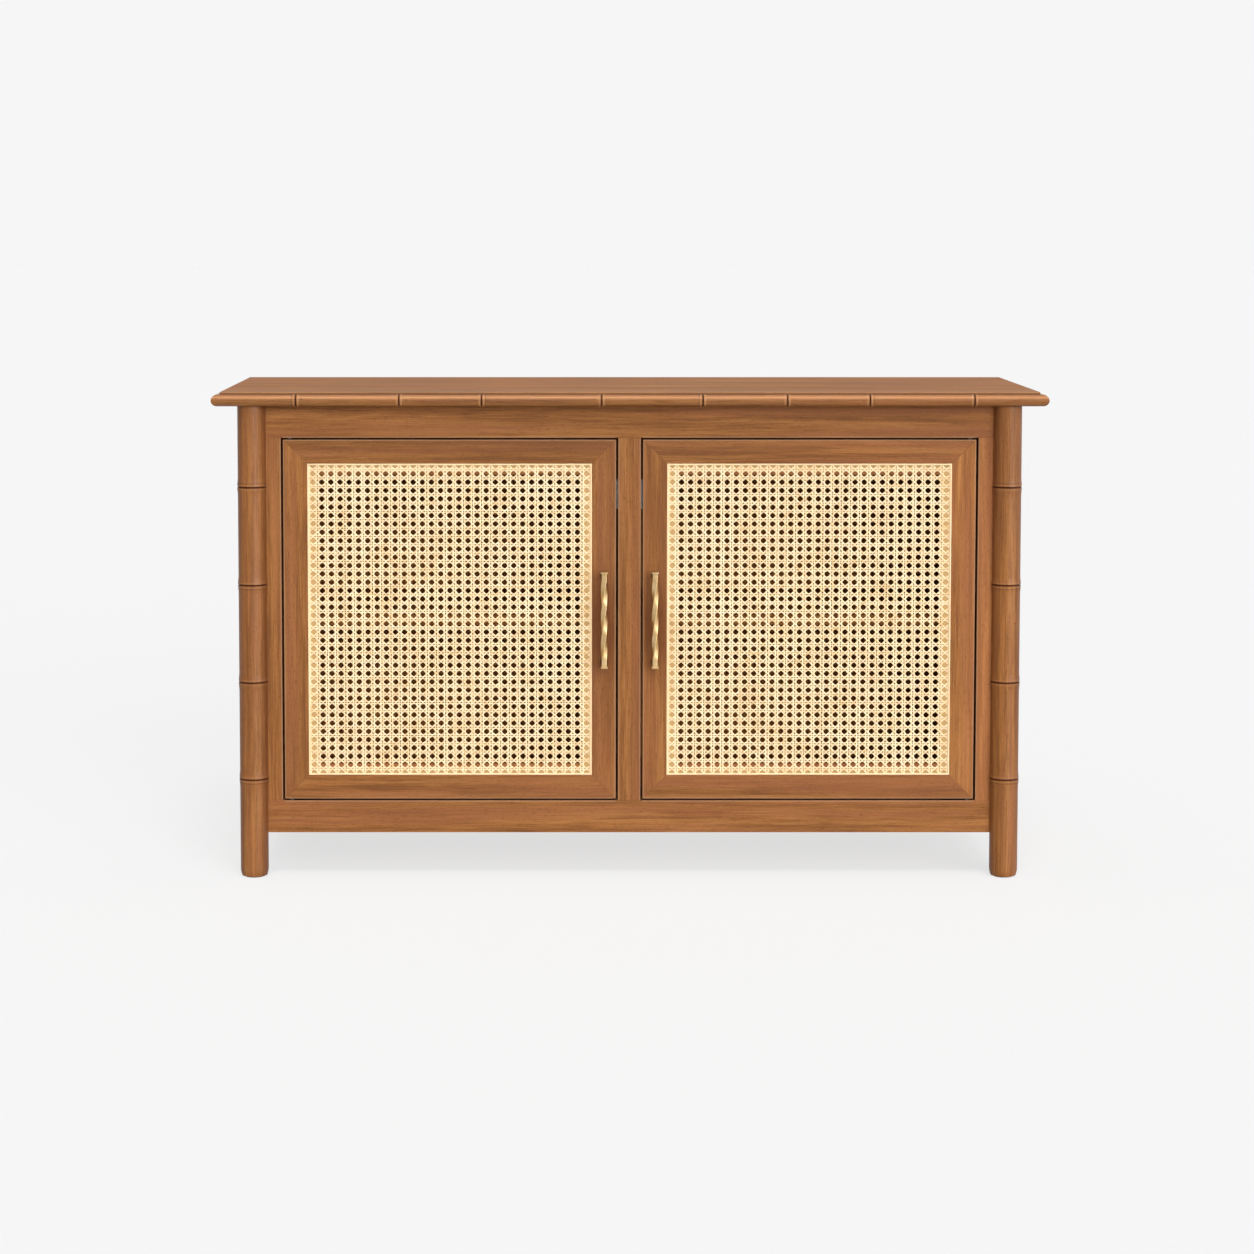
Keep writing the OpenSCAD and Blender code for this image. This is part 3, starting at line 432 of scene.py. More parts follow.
def peeledCane(name, colours, pink, seed):
    material = bpy.data.materials.new(name)
    tree = emptyTree(material)
    place = addNode(tree, "ShaderNodeTexCoord").outputs["Object"]
    laid = addNode(tree, "ShaderNodeMapping", {"Location": randomShift(seed)}, {"Vector": place})
    broad = addNode(tree, "ShaderNodeTexNoise", {
        "Scale": 1 / (caneSkin["broad"] * mm), "Detail": caneSkin["broadDetail"],
        "Roughness": caneSkin["noiseRough"]}, {"Vector": laid})
    fine = addNode(tree, "ShaderNodeTexNoise", {
        "Scale": 1 / (caneSkin["fine"] * mm), "Detail": caneSkin["fineDetail"],
        "Roughness": caneSkin["noiseRough"]}, {"Vector": laid})
    strand = addNode(tree, "ShaderNodeAttribute", {"attribute_name": "strandTone"})
    level = addNode(tree, "ShaderNodeMath", {
        "operation": "MULTIPLY_ADD", 1: caneSkin["broadShare"], 2: caneSkin["level"]},
        {0: broad.outputs["Fac"]})
    for source, share in ((fine, caneSkin["fineShare"]), (strand, caneSkin["strandShare"])):
        level = addNode(tree, "ShaderNodeMath", {"operation": "MULTIPLY_ADD", 1: share},
                        {0: source.outputs["Fac"], 2: level})
    ramp = addNode(tree, "ShaderNodeValToRGB", None, {"Fac": level},
                   list(zip(caneSkin["stops"], map(hexLinear, colours))))
    blush = addNode(tree, "ShaderNodeTexNoise", {
        "Scale": 1 / (caneSkin["pink"] * mm), "Detail": caneSkin["pinkDetail"]}, {"Vector": laid})
    share = addNode(tree, "ShaderNodeMapRange", caneSkin["pinkNoise"], {"Value": blush.outputs["Fac"]})
    tinted = addNode(tree, "ShaderNodeMix", {"data_type": "RGBA", 7: hexLinear(pink)},
                     {0: share, 6: ramp})
    fibres = addNode(tree, "ShaderNodeBump", {
        "Strength": caneSkin["fibreBump"], "Distance": caneSkin["fibreDepth"] * mm},
        {"Height": fine.outputs["Fac"]})
    skin = addNode(tree, "ShaderNodeBsdfPrincipled", {"IOR": polymerIor, "Roughness": caneSkin["rough"]},
                   {"Base Color": tinted.outputs[2], "Normal": fibres})
    addNode(tree, "ShaderNodeOutputMaterial", None, {0: skin})
    return material


metalSkin = {
    # solid or plated metal: its tone and gloss vary a little with handling
    "cloud": 14.0,             # mm between brighter and duller zones
    "cloudDetail": 2.0,
    "toneNoise": {"From Min": 0.35, "From Max": 0.7},
    "mostNoise": (0.3, 0.7),
    "roughDown": 0.05,
    "roughUp": 0.08,
    "line": 0.6,               # mm between polishing lines, drawn coarser than real ones so that they show
    "lineDetail": 3.0,
    "lineScale": (1, 1, 0.05), # draws the lines out along Z
    "lineDepth": 0.02,         # mm
}


def metalFinish(name, colour, shade, rough, scratch, patinaAndReflection=None):
    # the last argument is a colour and the depths (m) between which it takes over on the side towards the
    # door: an olive patina, where hands don't polish, and a painted dark reflection of the door
    lowNoise, highNoise = metalSkin["mostNoise"]
    material = bpy.data.materials.new(name)
    tree = emptyTree(material)
    place = addNode(tree, "ShaderNodeTexCoord").outputs["Object"]
    drawn = addNode(tree, "ShaderNodeMapping", {"Scale": metalSkin["lineScale"]}, {"Vector": place})
    lines = addNode(tree, "ShaderNodeTexNoise", {
        "Scale": 1 / (metalSkin["line"] * mm), "Detail": metalSkin["lineDetail"]}, {"Vector": drawn})
    cloud = addNode(tree, "ShaderNodeTexNoise", {
        "Scale": 1 / (metalSkin["cloud"] * mm), "Detail": metalSkin["cloudDetail"]},
        {"Vector": place}).outputs["Fac"]
    tone = addNode(tree, "ShaderNodeMapRange", metalSkin["toneNoise"], {"Value": cloud})
    mixed = addNode(tree, "ShaderNodeMix", {"data_type": "RGBA", 6: hexLinear(colour), 7: hexLinear(shade)},
                    {0: tone}).outputs[2]
    # patina with a painted dark reflection on the side towards the door
    if patinaAndReflection:
        dull, front, back = patinaAndReflection
        depth = addNode(tree, "ShaderNodeSeparateXYZ", None, {0: place}).outputs["Y"]
        share = addNode(tree, "ShaderNodeMapRange", {"From Min": front, "From Max": back}, {"Value": depth})
        mixed = addNode(tree, "ShaderNodeMix", {"data_type": "RGBA", 7: hexLinear(dull)},
                        {0: share, 6: mixed}).outputs[2]
    gloss = addNode(tree, "ShaderNodeMapRange", {
        "From Min": lowNoise, "From Max": highNoise, "To Min": rough - metalSkin["roughDown"],
        "To Max": rough + metalSkin["roughUp"]}, {"Value": cloud})
    relief = addNode(tree, "ShaderNodeBump", {"Strength": scratch, "Distance": metalSkin["lineDepth"] * mm},
                     {"Height": lines.outputs["Fac"]})
    metal = addNode(tree, "ShaderNodeBsdfPrincipled", {"Metallic": 1.0},
                    {"Base Color": mixed, "Roughness": gloss, "Normal": relief})
    addNode(tree, "ShaderNodeOutputMaterial", None, {0: metal})
    return material


plasticSkin = {
    # moulded plastic: a fine spark-eroded texture and a little unevenness in tone
    "cloud": 9.0,              # mm between lighter and darker zones
    "cloudDetail": 2.0,
    "grit": 0.5,               # mm between grains
    "gritDetail": 1.0,
    "gritDepth": 0.03,         # mm
    "gritBump": 0.4,
}


def mouldedPlastic(name, colour, shade, rough):
    material = bpy.data.materials.new(name)
    tree = emptyTree(material)
    place = addNode(tree, "ShaderNodeTexCoord").outputs["Object"]
    cloud = addNode(tree, "ShaderNodeTexNoise", {
        "Scale": 1 / (plasticSkin["cloud"] * mm), "Detail": plasticSkin["cloudDetail"]}, {"Vector": place})
    grit = addNode(tree, "ShaderNodeTexNoise", {
        "Scale": 1 / (plasticSkin["grit"] * mm), "Detail": plasticSkin["gritDetail"]}, {"Vector": place})
    mixed = addNode(tree, "ShaderNodeMix", {"data_type": "RGBA", 6: hexLinear(colour), 7: hexLinear(shade)},
                    {0: cloud.outputs["Fac"]})
    relief = addNode(tree, "ShaderNodeBump", {
        "Strength": plasticSkin["gritBump"], "Distance": plasticSkin["gritDepth"] * mm},
        {"Height": grit.outputs["Fac"]})
    body = addNode(tree, "ShaderNodeBsdfPrincipled", {"IOR": polymerIor, "Roughness": rough},
                   {"Base Color": mixed.outputs[2], "Normal": relief})
    addNode(tree, "ShaderNodeOutputMaterial", None, {0: body})
    return material


# cast brass gone brown: a dull gleam in the door gaps
agedBrass = metalFinish("agedBrass", "#6E5930", "#57452A", 0.45, 0.15)
# zinc-plated steel: cool pale grey with a soft shine
zincSteel = metalFinish("zincPlatedSteel", "#B9BBBD", "#A3A5A8", 0.34, 0.2)
# nickel-plated steel: a slightly warmer and duller grey
polePlate = metalFinish("nickelPlatedPole", "#A9A7A2", "#96948F", 0.36, 0.2)
# moulded plastics: milky and matt, near black and waxy, dusty grey
whiteNylon = mouldedPlastic("whiteNylon", "#E2DED3", "#D6D1C4", 0.5)
darkPolypropylene = mouldedPlastic("brownPolypropylene", "#3A2F27", "#2F2620", 0.55)
greyNylon = mouldedPlastic("greyNylonGlide", "#6B6259", "#5C544C", 0.7)
# rattan peel for the webbing, and the smoother reed that is pressed in round it
caneWeb = peeledCane("peeledCaneWebbing", caneSkin["web"], caneSkin["webPink"], 3)
caneSpline = peeledCane("reedSpline", caneSkin["reed"], caneSkin["reedPink"], 4)


# The cabinet's own pieces

woodPieces = {
    # node: look, direction of the grain, tone against its neighbours; the tones also hold painted light and
    # shade, lighter to the right where more light falls and darker on the door top rails under the top's
    # shadow
    "top_board": ("top", "x", 1.04),
    "top_edge_front": ("edging", "x", 1.0),
    "top_edge_left": ("edging", "y", 1.0),
    "top_edge_right": ("edging", "y", 1.0),
    "front_left_leg": ("turned", "z", 0.93),
    "front_right_leg": ("turned", "z", 1.0),
    "rear_left_leg": ("turned", "z", 0.97),
    "rear_right_leg": ("turned", "z", 1.0),
    "leg_dowels": ("inner", "z", 1.1),
    "frame_top_rail": ("frame", "x", 0.98),
    "frame_bottom_rail": ("frame", "x", 0.98),
    "frame_left_stile": ("frame", "z", 1.0),
    # painted light: lighter on the right, where more light falls
    "frame_right_stile": ("frame", "z", 1.16),
    "frame_centre_stile": ("frame", "z", 0.95),
    "left_side_panel": ("frame", "z", 1.0),
    "right_side_panel": ("frame", "z", 1.03),
    "bottom_panel": ("inner", "x", 1.0),
    "centre_partition": ("inner", "z", 1.0),
    "rear_top_rail": ("inner", "x", 1.0),
    "rear_bottom_rail": ("inner", "x", 1.03),
    "left_back_panel": ("inner", "z", 1.05),
    "right_back_panel": ("inner", "z", 1.0),
    "left_shelf": ("inner", "x", 1.03),
    "right_shelf": ("inner", "x", 0.97),
    "top_cleats": ("inner", "y", 1.0),
    "left_door_hinge_stile": ("frame", "z", 0.95),
    "left_door_pull_stile": ("frame", "z", 0.87),
    # painted shade: darker under the shadow of the top
    "left_door_top_rail": ("frame", "x", 0.8),
    "left_door_bottom_rail": ("frame", "x", 0.94),
    # painted light: lighter on the right, where more light falls
    "right_door_hinge_stile": ("frame", "z", 1.12),
    "right_door_pull_stile": ("frame", "z", 0.95),
    "right_door_top_rail": ("frame", "x", 0.94),
    "right_door_bottom_rail": ("frame", "x", 0.95),
}

otherPieces = {
    "foot_glides": greyNylon,
    "back_panel_screws": zincSteel,
    "cable_grommets": darkPolypropylene,
    "shelf_pins": zincSteel,
    "cleat_screws": zincSteel,
    "magnet_catches": whiteNylon,
    "catch_poles": polePlate,
    "catch_screws": zincSteel,
    "case_pivot_plates": agedBrass,
    "case_pivot_screws": agedBrass,
    "pivot_washers": darkPolypropylene,
    "left_pull_screws": zincSteel,
    "right_pull_screws": zincSteel,
    "left_door_pivot_plates": agedBrass,
    "right_door_pivot_plates": agedBrass,
    "left_door_pivot_screws": agedBrass,
    "right_door_pivot_screws": agedBrass,
    "left_strike_plate": zincSteel,
    "right_strike_plate": zincSteel,
}

easing = {
    # sharp machine edges become small round ones
    "wood": 0.4,               # mm, widths of the eased edges
    "turnedWood": 0.2,
    "fittings": 0.12,
    "weld": 0.005,             # mm between points that are taken as one
    "flatWithin": 0.3,         # degrees between facets that are taken as one flat face
    "sharpFrom": 32,           # degrees between faces from which an edge is eased
}

bamboo = {
    # nodes of the turned bamboo look, in mm: heights on the legs, places along the edging
    "legNodes": (156.0, 309.3, 462.6, 615.9),
    "frontNodes": (-518, -358, -230, -44, 113, 244, 372, 534),
    "sideNodes": (-118, 22, 158),
    # which of them have a second ring, before the groove and after it
    "legRings": ((0, 2), (3,)),
    "frontRings": ((0, 4), (2, 6)),
    "sideRings": ((), (1,)),
    # paint, mm out to which it is full, mm at which it is gone, share
    # glaze and painted shade in each groove
    "groove": ("glazeAndShade", 0.7, 2.0, 0.9),
    "ring": ("glazeAndShade", 0.3, 1.3, 0.4),
    "ringFrom": 6.0,           # mm from the groove
    # painted highlight on the ridge beside each groove, faint on the legs, stronger on the edging
    "legRidge": ("ridgeHighlight", 0.6, 2.2, 0.15),
    "edgingRidge": ("ridgeHighlight", 0.6, 2.2, 0.4),
    "ridgeFrom": 3.4,          # mm from the groove to the ridge's crest
    # painted highlight along the edging rod's upper side
    "crestHighlight": ("crestHighlight", 1.0, 4.6, 0.72),
    "crestBelow": 4.5,         # mm under the rod's top
    # painted shade on the flanks of the front legs, where the round leg turns away from the light
    "flank": ("deep", 5.0, 12.0),
    "flankShares": {"front_left_leg": (0.20, 0.34), "front_right_leg": (0.20, 0.24)},      # left, right
    # small dark eyes near the nodes: paint, share of the radius that is full, share
    "knot": ("glazeAndShade", 0.5, 0.6),
    "legKnots": 2,             # at each node
    "legKnotTurn": (200, 340), # degrees round the leg, on the side that faces the front
    "legKnotAway": (10, 60),   # mm from the node
    "legKnotRadius": (1.35, 2.4),
    "edgingKnotAway": (7, 14),
    "edgingKnotRise": (-3, 3),
    "edgingKnotRadius": (1.35, 2.25),
}

wearAndPaintedLight = {
    # wear, and painted light and shade where marked below
    # paint, mm out to which it is full, mm at which it is gone, share
    # painted highlight along the arris at a door's gap, with thinned stain
    "edge": ("paleAtEdges", 0.8, 3.2, 0.55),
    # painted shade on the faces inside the doors' gaps
    "jamb": ("deep", 0.25, 0.5, 0.7),
    "ledge": ("bare", 0.3, 0.6, 1.0),
    "ledgeWide": 12.5,         # mm
    # paler towards the top board's front edge, fading over 80 mm
    "board": ("paleAtEdges", 4.0, 80.0, 0.35),
    # painted shade in the corner between the board's lip and the rod below it
    "lip": ("glazeAndShade", 0.5, 1.6, 0.75),
    "lipPast": 1.0,            # mm past the front edge of the top
    "lipShort": 10.0,          # mm short of its back edge, which has no rod
    # paint, share of the radius that is full, share
    # painted shadow round each pull
    "pullShadow": ("pullShadow", 0.25, 0.58),
    "pullShadowReach": 34.0,      # mm sideways
    "pullShadowSqueeze": 0.32,
    "pullShadowDrop": 12.0,       # mm that its middle lies below the pull's
}


def easeEdges(piece, width, segments):
    # rounds the edges and shades the curved faces smoothly
    mesh = piece.data
    if "custom_normal" in mesh.attributes:
        mesh.attributes.remove(mesh.attributes["custom_normal"])
    mesh.shade_smooth()
    weld = piece.modifiers.new("weld", "WELD")
    weld.merge_threshold = easing["weld"] * mm
    flat = piece.modifiers.new("flatFaces", "DECIMATE")
    flat.decimate_type = "DISSOLVE"
    flat.angle_limit = math.radians(easing["flatWithin"])
    bevel = piece.modifiers.new("easedEdges", "BEVEL")
    bevel.width = width * mm
    bevel.segments = segments
    bevel.limit_method = "ANGLE"
    bevel.angle_limit = math.radians(easing["sharpFrom"])
    bevel.use_clamp_overlap = False
    piece.modifiers.new("faceNormals", "WEIGHTED_NORMAL")


def edgeMarks(axis, at, within=()):
    # a paler line along an edge at a door's gap, a painted highlight where the arris catches light with the
    # stain thinned there, and painted shade on the face inside the gap
    return [lineMark(axis, at, wearAndPaintedLight["edge"], within), lineMark(axis, at, wearAndPaintedLight["jamb"], within)]


def grooveMarks(axis, places, rings, ridgeHighlight):
    # glaze and painted shade in each groove, a painted highlight on the ridge on both sides, and beyond it a
    # faint second ring where listed
    marks = []
    for number, place in enumerate(places):
        for way in (-1, 1):
            marks.append(lineMark(axis, (place + way * bamboo["ridgeFrom"]) * mm, ridgeHighlight))
        for way, ringed in zip((-1, 1), rings):
            if number in ringed:
                marks.append(lineMark(axis, (place + way * bamboo["ringFrom"]) * mm, bamboo["ring"]))
        marks.append(lineMark(axis, place * mm, bamboo["groove"]))
    return marks


def legMarks(node, seed):
    low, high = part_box(node)
    marks = grooveMarks("z", bamboo["legNodes"], bamboo["legRings"], bamboo["legRidge"])
    # painted shade on the flanks of the front legs
    for flank, share in zip((low.x, high.x), bamboo["flankShares"].get(node, ())):
        marks.append(lineMark("x", flank, (*bamboo["flank"], share)))
    pick = random.Random(seed)
    midX, midY, radius = (low.x + high.x) / 2, (low.y + high.y) / 2, (high.x - low.x) / 2
    for height in bamboo["legNodes"]:
        for knot in range(bamboo["legKnots"]):
            turn = math.radians(pick.uniform(*bamboo["legKnotTurn"]))
            z = (height + pick.choice((-1, 1)) * pick.uniform(*bamboo["legKnotAway"])) * mm
            spot = (midX + radius * math.cos(turn), midY + radius * math.sin(turn), z)
            marks.append(spotMark(spot, pick.uniform(*bamboo["legKnotRadius"]), bamboo["knot"]))
    return marks


def edgingMarks(node, seed):
    low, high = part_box(node)
    ridgeHighlight = bamboo["edgingRidge"]
    # painted highlight along the rod's upper side
    crestHighlight = [lineMark("z", high.z - bamboo["crestBelow"] * mm, bamboo["crestHighlight"])]
    if node != "top_edge_front":
        return crestHighlight + grooveMarks("y", bamboo["sideNodes"], bamboo["sideRings"], ridgeHighlight)
    marks = crestHighlight + grooveMarks("x", bamboo["frontNodes"], bamboo["frontRings"], ridgeHighlight)
    pick = random.Random(seed)
    for place in bamboo["frontNodes"]:
        x = (place + pick.choice((-1, 1)) * pick.uniform(*bamboo["edgingKnotAway"])) * mm
        z = (low.z + high.z) / 2 + pick.uniform(*bamboo["edgingKnotRise"]) * mm
        marks.append(spotMark((x, low.y, z), pick.uniform(*bamboo["edgingKnotRadius"]), bamboo["knot"]))
    return marks


def doorSpan(side):
    # left and right edge of a door
    hingeLow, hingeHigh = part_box(side + "_door_hinge_stile")
    pullLow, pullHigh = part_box(side + "_door_pull_stile")
    return min(hingeLow.x, pullLow.x), max(hingeHigh.x, pullHigh.x)


def doorMarks(node):
    # the outer edge of the member, the bare ledge under the webbing, and painted shadow on the wood round the
    # pull
    side = node.split("_")[0]
    low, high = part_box(node)
    webLow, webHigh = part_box(side + "_cane_panel")
    left, right = doorSpan(side)
    wide = wearAndPaintedLight["ledgeWide"] * mm
    bottom, top = webLow.z, webHigh.z
    if node.endswith("top_rail"):
        bottom = webHigh.z - wide
        marks = edgeMarks("z", high.z)
    elif node.endswith("bottom_rail"):
        top = webLow.z + wide
        marks = edgeMarks("z", low.z)
    else:
        marks = edgeMarks("x", left if abs(low.x - left) < mm else right)
    if node.endswith("pull_stile"):
        # painted shadow round the pull, its middle a little below the pull's
        pullLow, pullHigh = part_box(side + "_pull")
        pullShadowCentre = ((pullLow.x + pullHigh.x) / 2, low.y, (pullLow.z + pullHigh.z) / 2 - wearAndPaintedLight["pullShadowDrop"] * mm)
        marks.insert(0, spotMark(pullShadowCentre, wearAndPaintedLight["pullShadowReach"], wearAndPaintedLight["pullShadow"], (1, 1, wearAndPaintedLight["pullShadowSqueeze"])))
    inside = [("x", webLow.x, webHigh.x), ("z", bottom, top)]
    return [lineMark("y", webHigh.y, wearAndPaintedLight["ledge"], inside), *marks]


def frameMarks(node):
    # the edges of the door openings
    low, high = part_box(node)
    if node == "frame_centre_stile":
        return edgeMarks("x", low.x) + edgeMarks("x", high.x)
    if node == "frame_left_stile":
        return edgeMarks("x", high.x)
    if node == "frame_right_stile":
        return edgeMarks("x", low.x)
    marks = []
    for side in ("left", "right"):
        marks += edgeMarks("z", low.z if node == "frame_top_rail" else high.z, [("x", *doorSpan(side))])
    return marks


def boardMarks(node):
    # a front edge that is paler, fading back over the board, and painted shade in the corner between the
    # board's lip and the rod below it
    low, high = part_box(node)
    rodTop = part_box("top_edge_front")[1].z
    lip = ("y", low.y - wearAndPaintedLight["lipPast"] * mm, high.y - wearAndPaintedLight["lipShort"] * mm)
    return [lineMark("y", low.y, wearAndPaintedLight["board"]), lineMark("z", rodTop, wearAndPaintedLight["lip"], [lip])]


def marksFor(node, seed):
    if node.endswith("_leg"):
        return legMarks(node, seed)
    if node.startswith("top_edge"):
        return edgingMarks(node, seed)
    if "_door_" in node:
        return doorMarks(node)
    if node.startswith("frame_"):
        return frameMarks(node)
    return boardMarks(node) if node == "top_board" else ()


def dressPiece(node, material, width, segments):
    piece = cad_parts[node]
    piece.data.materials.clear()
    piece.data.materials.append(material)
    easeEdges(piece, width, segments)


for seed, (node, (look, grain, tone)) in enumerate(woodPieces.items(), stain["firstSeed"]):
    wood = stainedRubberwood("stained_" + node, look, grain, seed, tone, marksFor(node, seed))
    dressPiece(node, wood, easing["turnedWood" if look in ("turned", "edging") else "wood"], 2)
for node, material in otherPieces.items():
    dressPiece(node, material, easing["fittings"], 1)
sayStage("the cabinet's own pieces are finished")


# Cane webbing

webbing = {
    "columns": 31,             # holes across a door, the outer two over the ledge of the frame
    "rows": 38,
    "pitchAcross": 14.28,      # mm from hole to hole
    "pitchUp": 13.12,
    "uprightWide": 2.4,        # mm
    "uprightHalf": 1.85,       # mm from the middle of a pair to each of its strands
    "levelWide": 1.85,
    "levelHalf": 1.475,
    "slantWide": 2.26,
    "wideSpread": (0.93, 1.06),
    "strandThick": 0.5,
    "section": ((-0.5, -0.5), (0.5, -0.5), (0.34, 0.5), (-0.34, 0.5)),    # shares of width and thickness
    "rise": 0.26,              # mm that the pairs bend over and under each other
    "slantRise": 0.52,         # mm that the slanting strands bend
    # where along a pitch a slanting strand bends, and how much of that rise it has there
    "slantBends": ((0.0, 1.0), (0.16, 0.94), (0.34, -0.94), (0.5, -1.0), (0.66, -0.94), (0.84, 0.94)),
    "stray": 0.20,             # mm of unevenness of a strand's place
    "shortest": 0.01,          # of the web's width, under which a corner's strand is left out
}


def addStrand(mesh, points, sideways, wide, thick, tone):
    # one closed strip along the points; sideways is the direction of its width in the web's plane
    verts, faces, tones = mesh
    rings = [[(x + sideways[0] * across * wide, y - out * thick, z + sideways[1] * across * wide)
              for across, out in webbing["section"]] for x, y, z in points]
    addTube(verts, faces, rings)
    tones.extend([tone] * (len(verts) - len(tones)))


def stationsAlong(low, high, start, pitch, bends):
    # places along a strand, one set for each pitch, kept inside the web's edge, with the depth at each
    first = math.floor((low - start) / pitch) - 1
    last = math.ceil((high - start) / pitch) + 1
    found = [(start + (cell + share) * pitch, depth)
             for cell in range(first, last + 1) for share, depth in bends]
    return [(low, 0.0), *((place, depth) for place, depth in found if low < place < high), (high, 0.0)]


def weaveDoor(side, body):
    # six-way webbing: pairs of uprights and levels, and single strands that slant both ways through them
    low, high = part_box(side + "_cane_panel")
    midX, midZ, plane = (low.x + high.x) / 2, (low.z + high.z) / 2, (low.y + high.y) / 2
    across, up = webbing["pitchAcross"] * mm, webbing["pitchUp"] * mm
    uprightWide, uprightHalf = webbing["uprightWide"] * mm, webbing["uprightHalf"] * mm
    levelWide, levelHalf = webbing["levelWide"] * mm, webbing["levelHalf"] * mm
    slantWide, slantRise = webbing["slantWide"] * mm, webbing["slantRise"] * mm
    rise, thick, stray = webbing["rise"] * mm, webbing["strandThick"] * mm, webbing["stray"] * mm
    firstX = midX - (webbing["columns"] - 1) / 2 * across      # first column of holes
    firstZ = midZ - (webbing["rows"] - 1) / 2 * up
    pick = random.Random(side)
    spread = webbing["wideSpread"]
    uprights, levels, slants = ([], [], []), ([], [], []), ([], [], [])

    crossing = levelHalf / up
    for i in range(webbing["columns"] + 1):
        for pair in (-1, 1):
            x = firstX + (i - 0.5) * across + pair * uprightHalf + pick.uniform(-stray, stray)
            if low.x + uprightWide / 2 < x < high.x - uprightWide / 2:
                bends = [(0.0, 0.0), (0.5 - crossing, -pair * rise), (0.5 + crossing, pair * rise)]
                stations = stationsAlong(low.z, high.z, firstZ, up, bends)
                points = [(x, plane - depth, z) for z, depth in stations]
                addStrand(uprights, points, (1, 0), uprightWide * pick.uniform(*spread), thick, pick.random())

    crossing = uprightHalf / across
    for j in range(webbing["rows"] + 1):
        for pair in (-1, 1):
            z = firstZ + (j - 0.5) * up + pair * levelHalf + pick.uniform(-stray, stray)
            if low.z + levelWide / 2 < z < high.z - levelWide / 2:
                bends = [(0.0, 0.0), (0.5 - crossing, -pair * rise), (0.5 + crossing, pair * rise)]
                stations = stationsAlong(low.x, high.x, firstX, across, bends)
                points = [(x, plane - depth, z) for x, depth in stations]
                addStrand(levels, points, (0, -1), levelWide * pick.uniform(*spread), thick, pick.random())

    length = math.hypot(across, up)
    count = webbing["columns"] + webbing["rows"]
    for lean in (1, -1):
        sideways = (-up / length * lean, across / length)
        for k in range(-count, count + 1):
            # the line (x - firstX) / across = lean * (z - firstZ) / up + k + 1/2, cut off at the web's edges
            ends = sorted(firstX + (lean * (z - firstZ) / up + k + 0.5) * across for z in (low.z, high.z))
            left, right = max(low.x, ends[0]), min(high.x, ends[1])
            if right - left < webbing["shortest"] * (high.x - low.x):
                continue
            shift = pick.uniform(-stray, stray)
            points = []
            # over the upright pairs where it leans one way and under them the other way
            for x, depth in stationsAlong(left, right, firstX + 0.5 * across, across, webbing["slantBends"]):
                z = firstZ + lean * ((x - firstX) / across - k - 0.5) * up
                points.append((x + sideways[0] * shift, plane + lean * depth * slantRise,
                               z + sideways[1] * shift))
            if len(points) > 2:
                addStrand(slants, points, sideways, slantWide * pick.uniform(*spread), thick, pick.random())

    for part, (verts, faces, tones) in (("uprights", uprights), ("levels", levels), ("slants", slants)):
        piece = addPiece(side + "_cane_" + part, verts, faces, caneWeb)
        piece.data.attributes.new("strandTone", "FLOAT", "POINT").data.foreach_set("value", tones)
        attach(piece, body)
        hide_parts(side + "_cane_panel")


for side in ("left", "right"):
    weaveDoor(side, side + "_door")
sayStage("the cane webbing is woven")


# Spline round the webbing

spline = {
    "wide": 3.2,               # mm
    "flank": 0.35,             # share of the height that its sides stand straight
    "steps": 8,
}


def layBead(side, body):
    # a half-round reed on four mitred sides
    low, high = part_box(side + "_cane_bead")
    wide, deep, flank = spline["wide"] * mm, high.y - low.y, spline["flank"]
    section = [(0.0, 0.0)]
    for s in range(spline["steps"] + 1):
        a = math.pi * s / spline["steps"]
        section.append(((1 - math.cos(a)) / 2 * wide, deep * (flank + (1 - flank) * math.sin(a))))
    section.append((wide, 0.0))
    verts, faces, mitres = [], [], set()
    for inset, out in section:
        y, left, right = high.y - out, low.x + inset, high.x - inset
        bottom, top = low.z + inset, high.z - inset
        verts.extend([(left, y, bottom), (right, y, bottom), (right, y, top), (left, y, top)])
    for s in range(len(section)):
        a, b = 4 * s, 4 * ((s + 1) % len(section))
        faces.extend((a + k, a + (k + 1) % 4, b + (k + 1) % 4, b + k) for k in range(4))
        mitres.update(tuple(sorted((a + k, b + k))) for k in range(4))
    piece = addPiece(side + "_bead_spline", verts, faces, caneSpline)
    for edge in piece.data.edges:
        edge.use_edge_sharp = tuple(sorted(edge.vertices)) in mitres
    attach(piece, body)
    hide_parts(side + "_cane_bead")


for side in ("left", "right"):
    layBead(side, side + "_door")
sayStage("the spline is laid")


# Pulls

pull = {
    # mm
    "bar": 8.0, "corner": 1.0, "twistLength": 127.0, "quarterTurns": 3, "slices": 96,
    "capWide": 10.6, "capThick": 3.6, "capCorner": 0.9,
    "capEase": 0.5, "capEaseCorner": 0.75, "capEaseShare": 0.12,      # of its thickness
    "postRadius": 3.6, "postFillet": 0.6, "roseRadius": 5.5, "roseThick": 2.0, "roseEase": 0.4,
    "roundSteps": 32, "cornerSteps": 5,
    "sharpFrom": 40,           # degrees between faces
    # pale satin brass: a cream glint on the side towards the light, and on the side towards the door an olive
    # patina, where it is never rubbed, with a painted dark reflection
    "colour": "#DABC8C", "shade": "#C4A370", "patinaAndReflection": "#5E4A22",
    "rough": 0.35, "scratch": 0.10,
    "patinaAndReflectionHalf": 1.5,         # to each side of the bar's middle, where the patina and painted dark reflection take over
}


def makeBrass():
    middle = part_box("left_pull")[0].y + pull["capWide"] / 2 * mm
    half = pull["patinaAndReflectionHalf"] * mm
    patinaAndReflection = (pull["patinaAndReflection"], middle - half, middle + half)
    return metalFinish("satinBrass", pull["colour"], pull["shade"], pull["rough"], pull["scratch"], patinaAndReflection)


